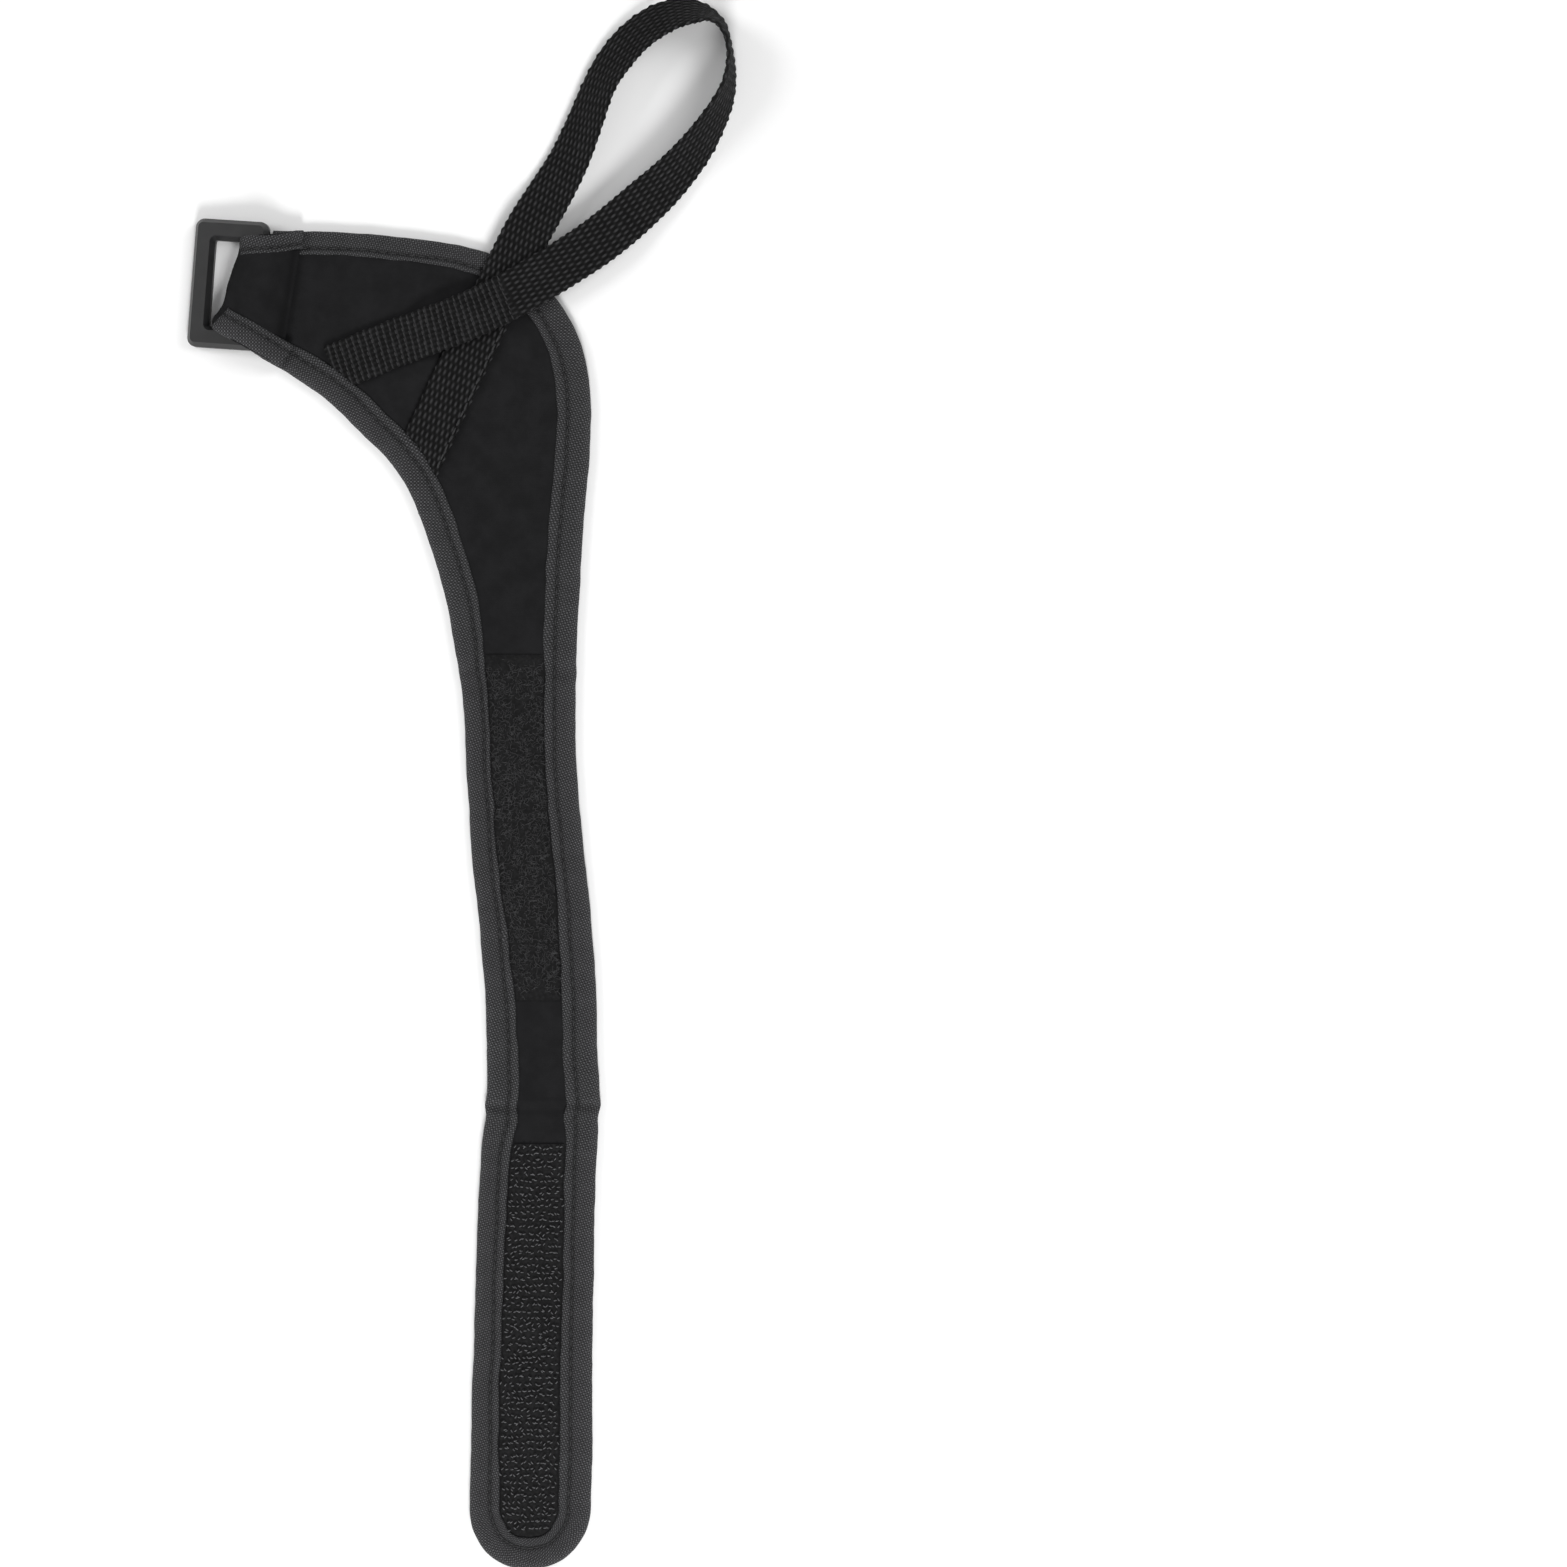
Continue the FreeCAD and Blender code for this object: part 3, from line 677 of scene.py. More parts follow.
def rows_of_span(span, top, tip):
    """Heights y of a span's rows, closer together by the joint."""
    high, low = min(CUT_Y[span], top), max(CUT_Y[span + 1], tip)
    rows, y = [high], high
    while y > low:
        close = abs(y - HINGE_Y[span]) < BEND_HALF[span] + 2
        y -= ROW_NEAR[span] if close else ROW_FAR
        rows.append(max(y, low))
    return np.array(rows)


def panel_grid(span):
    """Grid of points across the strap, from its left line to its right one."""
    inset = inset_edge(-TUCK)
    usable = ring_place(inset)[:, 0] > PANEL_START
    top = inset[:EDGE.turn][usable[:EDGE.turn], 1].max() - 0.05
    rows = rows_of_span(span, top, inset[:, 1].min() + 0.3)
    left, right = row_limits(-TUCK)(rows)
    share = np.linspace(0, 1, COLUMNS)
    x = left[:, None] + (right - left)[:, None] * share
    y = np.repeat(rows[:, None], len(share), 1)
    return x, y, share


def cloth_swell(x, y):
    """Soft unevenness of the laminate, and its creases at the tail's fold and by the palm."""
    soft = 0.05 * ripple(x * 0.8 + y * 0.3, 19, 11) + 0.06 * ripple(y - 0.2 * x, 23, 12)
    fold = bump_at(y, FOLD_Y + 1.2, 0.9) * 0.26 - bump_at(y, FOLD_Y - 0.8, 1.0) * 0.34
    fold = fold + bump_at(y, FOLD_Y - 4.0, 1.4) * 0.14
    slant = y + 0.10 * x
    palm = bump_at(slant, WRAP_Y[0] - 5.5, 1.1) * 0.13 - bump_at(slant, WRAP_Y[0] - 8, 1.2) * 0.16
    return soft + fold + palm


class CUFF_OT_panels(bpy.types.Operator):
    """Knitted face over foam, bound at its edge, from the palm down to the tip"""
    bl_idname = "cuff.panels"
    bl_label = "Face and Foam"

    def execute(self, context):
        high = context.scene.cuff_laminate.panel / MM
        finish = knit_finish("face_knit", context.scene.cuff_finishes.knit, 0.42)
        for span, (_, link) in enumerate(SPANS):
            x, y, share = panel_grid(span)
            crown = 0.10 * np.sqrt(np.minimum(share, 1 - share) * 2)
            top = high - 0.08 + crown + cloth_swell(x, y)
            piece = flat_piece(f"face_{link}", x, y, top, FACE_UNDER, finish)
            bend_over(piece, span)
            nodes = ["palm_core", "palm_face"] if span == 0 else []
            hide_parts(*nodes, f"{link}_core", f"{link}_face")
        return {"FINISHED"}


class CUFF_OT_linings(bpy.types.Operator):
    """Knitted lining on the side that lies against the skin"""
    bl_idname = "cuff.linings"
    bl_label = "Lining"

    def execute(self, context):
        finish = knit_finish("lining_knit", context.scene.cuff_finishes.knit, 0.55)
        for span, (_, link) in enumerate(SPANS):
            x, y, share = panel_grid(span)
            under = 0.10 + 0.03 * ripple(x + 0.4 * y, 17, 21) + 0.03 * (1 - np.minimum(share, 1 - share) * 2)
            piece = flat_piece(f"lining_{link}", x, y, LINING_TOP, under, finish)
            bend_over(piece, span)
            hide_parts(*(["palm_lining"] if span == 0 else []), f"{link}_lining")
        return {"FINISHED"}


def binding_section(groove, line, sizes, pull, swell):
    """Section of the folded binding tape: distance in from the edge, and height over the table.
    pull deepens the groove where a stitch holds it, and swell puffs the padded strip."""
    high, low, lip = sizes.puff / MM, sizes.groove / MM, sizes.lip / MM
    top = high + swell
    return [
        (0, 1.22), (0.10, 1.75), (0.40, high - 0.62 + 0.6 * swell),
        (0.95, high - 0.24 + 0.8 * swell), (1.8, high - 0.06 + swell),
        (0.48 * groove, top + 0.01), (0.70 * groove, top - 0.03), (0.86 * groove, high - 0.22 + 0.6 * swell),
        (groove - 0.30, low + 0.16 - 0.6 * pull), (groove, low - pull),
        (groove + 0.30, low + 0.12 - 0.6 * pull), (groove + 0.60, lip - 0.05 - 0.3 * pull),
        ((groove + line) / 2, lip + 0.06 + 0.4 * swell), (line - 0.38, lip - 0.04), (line - 0.10, lip - 0.24),
        (line, 2.10), (line, 0.14), (line - 0.3, 0.03), (groove, 0.06),
        (1.8, 0.02), (0.9, 0.07), (0.35, 0.36), (0.08, 0.80)]


# How high each point of the binding's section stands, from 0 to 1. The twill finish paints shade where it is
# low, and highlight and paler wear where it is high.
BINDING_CREST = [0.75, 1.0, 0.95, 0.8, 0.62, 0.5, 0.5, 0.42, 0.12, 0.0, 0.12, 0.45, 0.55, 0.7, 0.45, 0.0,
                 0.0, 0.3, 0.2, 0.4, 0.6, 0.9, 0.9]


def binding_waves(first, last):
    """How the tape puffs and puckers between its stitches."""
    s, y = EDGE.s[first:last + 1], EDGE.xy[first:last + 1, 1]
    swell = 0.09 * ripple(s, 13, 31) + 0.05 * ripple(s, 4.2, 32)
    pull = 0.07 + 0.07 * np.cos(2 * np.pi * s / 2.6) + 0.03 * ripple(s, 9, 33)
    fold = 0.42 * bump_at(y, FOLD_Y + 1.6, 1.1) - 0.62 * bump_at(y, FOLD_Y - 0.4, 1.0)
    palm = 0.18 * bump_at(y, WRAP_Y[0] - 6, 1.4) - 0.22 * bump_at(y, WRAP_Y[0] - 9, 1.2)
    return swell + fold + palm, pull


class CUFF_OT_bindings(bpy.types.Operator):
    """Twill tape folded round the cut edge and sewn through, all the way round the strap"""
    bl_idname = "cuff.bindings"
    bl_label = "Binding"

    def execute(self, context):
        sizes = context.scene.cuff_laminate
        finish = twill_finish("binding_tape", context.scene.cuff_finishes.tape)
        for span, (_, link) in enumerate(SPANS):
            for side, (first, last) in enumerate(runs_of(span)):
                swell, pull = binding_waves(first, last)
                piece = self.strip(link, side, first, last, swell, pull, sizes, finish)
                bend_over(piece, span)
                if span == 0:
                    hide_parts(("palm_binding_outer", "palm_binding_inner")[side])
                if side == 0:
                    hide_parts(f"{link}_binding")
        return {"FINISHED"}

    def strip(self, link, side, first, last, swell, pull, sizes, finish):
        here = slice(first, last + 1)
        section = binding_section(EDGE.groove[here], EDGE.line[here], sizes, pull, swell)
        deep = np.stack(np.broadcast_arrays(*[d for d, _ in section]), 1)
        high = np.stack(np.broadcast_arrays(*[z for _, z in section], deep[:, 0])[:-1], 1)
        flat = EDGE.xy[here][:, None] + EDGE.inward[here][:, None] * deep[..., None]
        points = np.concatenate([flat, high[..., None]], -1)
        girth = np.r_[0, np.cumsum(np.hypot(np.diff(deep.mean(0)), np.diff(high.mean(0))))]
        cloth = np.stack(np.broadcast_arrays(EDGE.s[here][:, None], girth[None]), -1)
        # Crest of each point, raised where the tape swells; it sets the painted highlight, painted shade and
        # wear.
        tone_mask = np.clip(np.array(BINDING_CREST)[None] + 0.5 * swell[:, None], 0, 1)
        name = f"binding_{link}_{SIDES[side]}"
        piece = make_piece(name, points.reshape(-1, 3), tube_faces(len(flat), len(section)),
                           cloth.reshape(-1, 2), tone_mask.ravel(), finish)
        return facing_out(piece)


STITCH_DIP = np.array([-0.42, -0.04, 0.06, 0.06, -0.04, -0.42])
STITCH_GIRTH = np.array([0.55, 0.95, 1, 1, 0.95, 0.55])
STITCH_SIDES = 7
# Half length and radius of the stitches of each sewn row.
BOUND_STITCH, FLAP_STITCH, SEAM_STITCH = (0.98, 0.21), (0.95, 0.21), (0.95, 0.2)
ACROSS_STITCH, ALONG_STITCH = (0.55, 0.15), (0.98, 0.24)


def stitch_row(name, places, ahead, size, finish):
    """Piece of short sunk stitches: paths that dip at both ends."""
    reach, radius = size
    steps = np.linspace(-1, 1, len(STITCH_DIP))
    paths = places[:, None] + ahead[:, None] * (steps * reach)[None, :, None]
    paths[..., 2] += STITCH_DIP
    points, faces = many_tubes(paths, radius * STITCH_GIRTH, STITCH_SIDES)
    return make_piece(name, points, faces, points[:, :2], material=finish)


class CUFF_OT_stitches(bpy.types.Operator):
    """Row of stitches in the binding's groove"""
    bl_idname = "cuff.stitches"
    bl_label = "Stitches"

    def execute(self, context):
        sizes = context.scene.cuff_laminate
        finish = thread_finish("thread", context.scene.cuff_finishes.thread)
        pitch = sizes.stitch / MM
        for span, (_, link) in enumerate(SPANS):
            for side, (first, last) in enumerate(runs_of(span)):
                s = np.arange(np.ceil(EDGE.s[first] / pitch), EDGE.s[last] / pitch) * pitch + pitch / 2
                s = s[(s > EDGE.s[first] + 1) & (s < EDGE.s[last] - 1)]
                at = [np.interp(s, EDGE.s, EDGE.xy[:, i] + EDGE.inward[:, i] * EDGE.groove) for i in (0, 1)]
                way = [np.interp(s, EDGE.s, EDGE.path.along[:, i]) for i in (0, 1)]
                y = at[1]
                level = (sizes.groove / MM + 0.06 - 0.55 * bump_at(y, FOLD_Y - 0.4, 1.0)
                         + 0.3 * bump_at(y, FOLD_Y + 1.6, 1.1))
                places = np.stack(at + [level], 1)
                ahead = np.stack(way + [0 * s], 1)
                piece = stitch_row(f"stitches_{link}_{SIDES[side]}", places, ahead, BOUND_STITCH, finish)
                bend_over(piece, span)
                if span == 0:
                    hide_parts(("palm_binding_thread_outer", "palm_binding_thread_inner")[side])
                if side == 0:
                    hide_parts(f"{link}_binding_thread")
        return {"FINISHED"}


# ---- flap and sleeve -----------------------------------------------------------------------------
# Left boundary of the fold: along the ring's bar, then across it.
FOLD_LINE = [(-11.4, -10.4), (-8.9, -8.9), (-6.5, -7.8), (-4.7, -7.5), (-1.2, -7.1), (2.8, -6.2),
             (8.4, -4.8), (11.0, -4.6)]
# Across the bar: the flap's lower edge, its upper edge, and the height of its middle.
FLAP_LOW = [(-12.0, -10.6), (-8.8, -12.6), (-5.7, -14.1), (-3.0, -15.2), (0.2, -16.7), (6.0, -19.5),
            (9.4, -21.2), (12.0, -22.4)]
FLAP_HIGH = [(-12.0, 10.6), (-8.0, 11.0), (-4.7, 12.2), (3.0, 13.4), (6.0, 14.2), (9.4, 15.2), (12.0, 15.5)]
FLAP_RISE = [(-12.0, 5.7), (-8.0, 5.85), (-5.0, 6.2), (-1.1, 6.8), (0.5, 6.95), (3.0, 6.4), (5.6, 4.75),
             (7.6, 3.55), (9.4, 2.95), (12.0, 2.9)]
FOLD_RADIUS = 3.4
FOLD_SPAN = (-12.4, 11.2)    # along the bar
SLEEVE_HALF = 10.9           # half width inside the ring's slot
FLAP_END = (10.09, 0.0875)   # where the free end lies across the bar, and its slant along the bar
SHEET = 1.05                 # half the laminate's thickness
REST = SHEET + 0.05          # middle of the laminate where it lies on the table
FLAP_GIRTH = 33              # width of the flap's weave
FLAP_SHADE_BAND = (1.5, 1.25)        # band of painted shade along the sewn-down end: in from the free end, and its width


def flap_end(v):
    """How far across the bar the flap's free end lies, for a place along the bar."""
    return FLAP_END[0] + FLAP_END[1] * v


def through(table, at):
    table = np.array(table)
    return eased_values(table[:, 0], table[:, 1], np.asarray(at, float))


class Sleeve:
    """Middle surface of the laminate that folds round the ring's bar. p runs along it from under the
    panel round the fold to the flap's free end, and a runs from its lower edge to its upper one."""

    UNDER, FOLD, OVER = 22, 16, 44     # points of each part, along p
    START = PANEL_START + 0.6

    def low_high(self, u):
        return through(FLAP_LOW, u), through(FLAP_HIGH, u)

    def fold_at(self, a):
        """How far across the bar the fold reaches, found by trial for each share a."""
        u = np.full_like(a, -7.0)
        for _ in range(12):
            low, high = self.low_high(u + 2)
            low, high = np.maximum(low, FOLD_SPAN[0]), np.minimum(high, FOLD_SPAN[1])
            u = through(FOLD_LINE, low + (high - low) * a)
        return u

    def grid(self, a):
        """Places of the surface: across the bar, along it, and the height."""
        centre = self.fold_at(a)[:, None] + FOLD_RADIUS
        top_z = through(FLAP_RISE, centre.ravel())[:, None]
        u0 = self.START + (centre - self.START) * np.linspace(0, 1, self.UNDER)[None, :-1]
        z0 = np.full_like(u0, REST)
        turn = np.linspace(0, np.pi, self.FOLD)[None]
        u1 = centre - (FOLD_RADIUS - SHEET) * np.sin(turn)
        z1 = (REST + top_z) / 2 - (top_z - REST) / 2 * np.cos(turn)
        end = flap_end(FLAP_LOW[-2][1] + (FLAP_HIGH[-2][1] - FLAP_LOW[-2][1]) * a)[:, None]
        u2 = centre + (end - centre) * np.linspace(0, 1, self.OVER)[None, 1:]
        z2 = through(FLAP_RISE, u2.ravel()).reshape(u2.shape)
        u, z = np.concatenate([u0, u1, u2], 1), np.concatenate([z0, z1, z2], 1)
        low, high = self.low_high(u)
        step = np.arange(u.shape[1])
        wide = np.clip((step - self.UNDER - self.FOLD * 0.45) / (self.FOLD * 0.9), 0, 1)[None]
        wide = wide * wide * (3 - 2 * wide)
        low = -SLEEVE_HALF + (low + SLEEVE_HALF) * wide
        high = SLEEVE_HALF + (high - SLEEVE_HALF) * wide
        v = low + (high - low) * a[:, None]
        return u, v, z

    def surface(self, a):
        """Points, unit normals out of the fold, and unit directions along a."""
        u, v, z = self.grid(a)
        points = from_ring(u, v, z)
        along = np.gradient(points, axis=1)
        along /= np.linalg.norm(along, axis=2)[..., None]
        across = np.gradient(points, axis=0)
        across -= (across * along).sum(2)[..., None] * along
        across /= np.linalg.norm(across, axis=2)[..., None]
        return points, np.cross(across, along), across


def taper(count, steps=12):
    """Thickness of the flap along it, thinned over the last steps before its cut end."""
    scale = np.ones(count)
    for i in range(steps):
        scale[-1 - i] = 0.35 + 0.65 * math.sqrt(i / steps)
    return scale


def fold_side(v):
    """How far across the bar the fold reaches, for a place along it."""
    return through(FOLD_LINE, np.clip(v, FOLD_LINE[0][0], FOLD_LINE[-1][0]))


def flap_height(u, v):
    """Top of the flap's laminate over the table, with its rounded fold."""
    centre = fold_side(v) + FOLD_RADIUS
    crown = through(FLAP_RISE, np.maximum(u, centre).ravel()).reshape(np.shape(u)) + SHEET
    waist = (crown + 0.05) / 2
    lean = np.clip((centre - u) / FOLD_RADIUS, 0, 0.995)
    return np.where(u >= centre, crown, waist + (crown - waist) * np.sqrt(1 - lean ** 2))


# Section of the flap's binding: share of the width, millimetres in from the edge, height over the cloth.
FLAP_SECTION = [
    (0, 0, -2.1), (0, -0.05, -1.2), (0, 0.05, -0.3), (0, 0.45, 0.22), (0, 1.1, 0.42), (0.25, 0.6, 0.50),
    (0.5, 0.3, 0.50), (0.72, -0.55, 0.42), (0.72, -0.25, 0.22), (0.72, 0, 0.08), (0.72, 0.25, 0.20),
    (0.72, 0.6, 0.40), (0.86, 0.2, 0.44), (1, -0.35, 0.38), (1, -0.08, 0.22), (1, 0, -0.3),
    (1, -0.8, -0.6), (0.5, 0, -1.6)]
# Crest of each point of the flap's binding section, which sets its painted highlight, painted shade and wear.
FLAP_CREST = [0.8, 0.9, 1.0, 0.95, 0.8, 0.6, 0.5, 0.4, 0.12, 0.0, 0.12, 0.45, 0.55, 0.7, 0.45, 0.0, 0.0, 0.3]
FLAP_GROOVE = 9              # the section's point in the sewn groove
# Side, where its binding starts across the bar, which way its cloth is, and width of the binding.
FLAP_SIDES = (("lower", -10.2, 1, 6.8), ("upper", -5.0, -1, 4.9))


def edge_strip(start, inner, width):
    """Binding over one edge of the flap, from the fold to the free end. inner is 1 where the cloth is
    on the side of greater v. Gives the grid, its cloth place, its crest for painted shade, painted highlight
    and wear, and the line of its groove."""
    table = FLAP_LOW if inner > 0 else FLAP_HIGH
    u = np.linspace(start, flap_end(table[-2][1]), 46)
    v = through(table, u)
    way = np.stack([np.gradient(u), np.gradient(v)], -1)
    way /= np.linalg.norm(way, axis=1)[:, None]
    inward = np.stack([-way[:, 1], way[:, 0]], -1) * inner
    s = np.r_[0, np.cumsum(np.hypot(np.diff(u), np.diff(v)))]
    ends = np.clip(np.minimum((s[-1] - s) / 1.2, 1), 0.0, 1) ** 0.5
    puff = 0.10 * ripple(s, 9, 41 + inner)
    rows = []
    for share, off, high in FLAP_SECTION:
        deep = share * width + off
        uu, vv = u + inward[:, 0] * deep, v + inward[:, 1] * deep
        uu = np.maximum(uu, fold_side(vv) + 0.04 + 0.25 * (high < 0))
        z = flap_height(uu, vv) + np.where(high > 0, (high + puff) * (0.35 + 0.65 * ends), high)
        rows.append(from_ring(uu, vv, z))
    grid = np.stack(rows, 1)
    cloth = np.stack(np.broadcast_arrays(s[:, None], running_length(grid.mean(0))[None]), -1)
    crest = np.broadcast_to(np.array(FLAP_CREST)[None], grid.shape[:2])
    return grid, cloth, crest, grid[:, FLAP_GROOVE]


def bend_sleeve(piece):
    """Bakes the place of a piece of the sleeve or the flap into its mesh."""
    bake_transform(piece)


def spaced(row, ways, first, last, pitch):
    """Places at an even pitch along a row, from first to last before its end, and the ways there."""
    s = running_length(row)
    at = np.arange(first, s[-1] - last, pitch)
    return [np.stack([np.interp(at, s, values[:, i]) for i in range(3)], 1) for values in (row, ways)]


class CUFF_OT_flap(bpy.types.Operator):
    """End of the laminate, folded round the ring's bar and sewn down as a flap"""
    bl_idname = "cuff.flap"
    bl_label = "Flap and Sleeve"
    OUTSIDE = 30     # the first steps of the sleeve, which are hidden under the flap
    SEAM = -6        # the step that its end is sewn down on

    def execute(self, context):
        finishes, sleeve = context.scene.cuff_finishes, Sleeve()
        tape = twill_finish("binding_tape", finishes.tape)
        a = np.linspace(0, 1, 49)[:, None]
        middle, normal, _ = sleeve.surface(a[:, 0])
        thin = taper(middle.shape[1])[None, :, None] * (SHEET - 0.05)
        u, girth = ring_place(middle)[..., 0], a * FLAP_GIRTH
        swell = 0.14 * ripple(girth + 0.5 * u, 12, 51) + 0.07 * ripple(girth - u, 6, 52)
        middle = middle + normal * (swell * np.sin(np.pi * a))[..., None]
        cloth = np.stack(np.broadcast_arrays(running_length(middle[20])[None], girth), -1)
        points, faces, cloth = slab_mesh(middle + normal * thin, middle - normal * thin, cloth)
        # Band of painted shade just in from the flap's free end, carried in the crest attribute.
        shade_band = bump_at(flap_end(ring_place(middle)[..., 1]) - u, *FLAP_SHADE_BAND)
        shade_band = shade_band * (np.arange(u.shape[1]) > self.OUTSIDE)
        face = facing_out(make_piece("flap_face", points, faces, cloth, np.tile(shade_band.ravel(), 2),
                                     material=knit_finish("flap_knit", finishes.knit, 0.42)))
        bend_sleeve(face)
        for side, start, inner, width in FLAP_SIDES:
            grid, cloth, crest, groove = edge_strip(start, inner, width)
            strip = facing_out(make_piece(f"flap_binding_{side}", grid.reshape(-1, 3),
                                          tube_faces(*grid.shape[:2]), cloth.reshape(-1, 2),
                                          crest.ravel(), tape))
            bend_sleeve(strip)
            if side == "lower":
                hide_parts("flap_binding")
            self.stitches(f"stitches_flap_{side}", groove, finishes)
        self.seam(sleeve, finishes)
        return {"FINISHED"}

    def stitches(self, name, row, finishes):
        """The row in the groove of one of the flap's bindings."""
        ahead = np.gradient(row, axis=0)
        ahead /= np.linalg.norm(ahead, axis=1)[:, None] + 1e-9
        places, ways = spaced(row, ahead, 2.4, 0.9, 2.6)
        places[:, 2] += 0.12
        piece = stitch_row(name, places, ways, FLAP_STITCH, thread_finish("thread", finishes.thread))
        bend_sleeve(piece)

    def seam(self, sleeve, finishes):
        """The row that sews the flap's free end down. It is lifted where it crosses the bindings."""
        a = np.linspace(0.03, 0.97, 60)
        points, normal, across = sleeve.surface(a)
        lift = 1.0 + 0.42 * ((a < 0.2) | (a > 0.86))
        line = points[:, self.SEAM] + normal[:, self.SEAM] * lift[:, None]
        places, ways = spaced(line, across[:, self.SEAM], 1.2, 1.0, 2.5)
        piece = stitch_row("stitches_flap_end", places, ways, SEAM_STITCH,
                           thread_finish("thread", finishes.thread))
        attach(piece, "palm")
        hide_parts("flap_thread")


# ---- webbing -------------------------------------------------------------------------------------
WEB_LEVELS = {"panel": 2.98, "edge": 3.58, "over": 4.95}
SEWN_END = 49.0        # length of the upper leg that is sewn down in tight rows across it
SEWN_START = 2.2       # from the leg's end to its first row
SEWN_PITCH = 1.66
SEWN_LEAN = 0.12
SEWN_ACROSS = 1.32     # between two stitches of a row
SEWN_INSET = 0.9       # from the webbing's edge to its first stitch
EDGE_ROW = (2.0, 44.0, 2.4)    # where the row along the lower leg starts and ends, and its pitch
WEB_STEP, WEB_COLUMNS = 0.36, 45
CUT_ENDS = (16, 20)    # lengths at the two ends in which the webbing goes under the binding
CUT_LEVELS = (1.75, 1.45)    # top and underside of the webbing there


class WebPath:
    """Middle line of the webbing, with its side and face directions at even steps."""

    def __init__(self, step):
        path = EvenPath([p[:2] for p in WEB_ROUTE], step)
        levels = [WEB_LEVELS.get(p[2], p[2]) for p in WEB_ROUTE]
        z = eased_values(path.marks_at, levels, path.marks)
        roll = np.radians(eased_values(path.marks_at, [p[3] for p in WEB_ROUTE], path.marks))
        self.s, count = path.s, len(path.s)
        self.middle = np.c_[path.xy, z]
        out = np.c_[-path.right, np.zeros(count)]
        up = np.tile([0.0, 0, 1], (count, 1))
        self.side = out * np.cos(roll)[:, None] - up * np.sin(roll)[:, None]
        self.face = up * np.cos(roll)[:, None] + out * np.sin(roll)[:, None]
        self.along = np.c_[path.along, np.gradient(z, path.s)]
        self.along /= np.linalg.norm(self.along, axis=1)[:, None]


def weave_height(s, w, sizes, phase=0.0):
    """Crowns of the webbing's yarns, from 0 in the gaps to 1: rows along it, each half a yarn over."""
    row, yarn = sizes.row / MM, sizes.yarn / MM
    sway = 0.12 * ripple(s, 11, 61) + 0.12 * ripple(w * 2.1 + s * 0.05, 7, 62)
    drift = 0.10 * ripple(s, 17, 65)
    along = np.cos(np.pi * (s + sway) / row)
    along = np.sign(along) * np.abs(along) ** 1.7
    lattice = along * np.cos(2 * np.pi * (w + drift + phase) / yarn)
    return np.clip((lattice + 0.06) / 0.85, 0, 1) ** 0.7


def tucked(points):
    """How far each point of the webbing has gone under the binding's inner line, from 0 to 1."""
    flat = points[..., :2].reshape(-1, 2)
    edge, inward, line = EDGE.xy[EDGE.turn:], EDGE.inward[EDGE.turn:], EDGE.line[EDGE.turn:]
    deep = np.empty(len(flat))
    for start in range(0, len(flat), 2000):
        some = flat[start:start + 2000]
        near = ((some[:, None] - edge[None]) ** 2).sum(2).argmin(1)
        deep[start:start + 2000] = ((some - edge[near]) * inward[near]).sum(1) - line[near]
    return np.clip((0.15 - deep) / 0.55, 0, 1).reshape(points.shape[:-1])


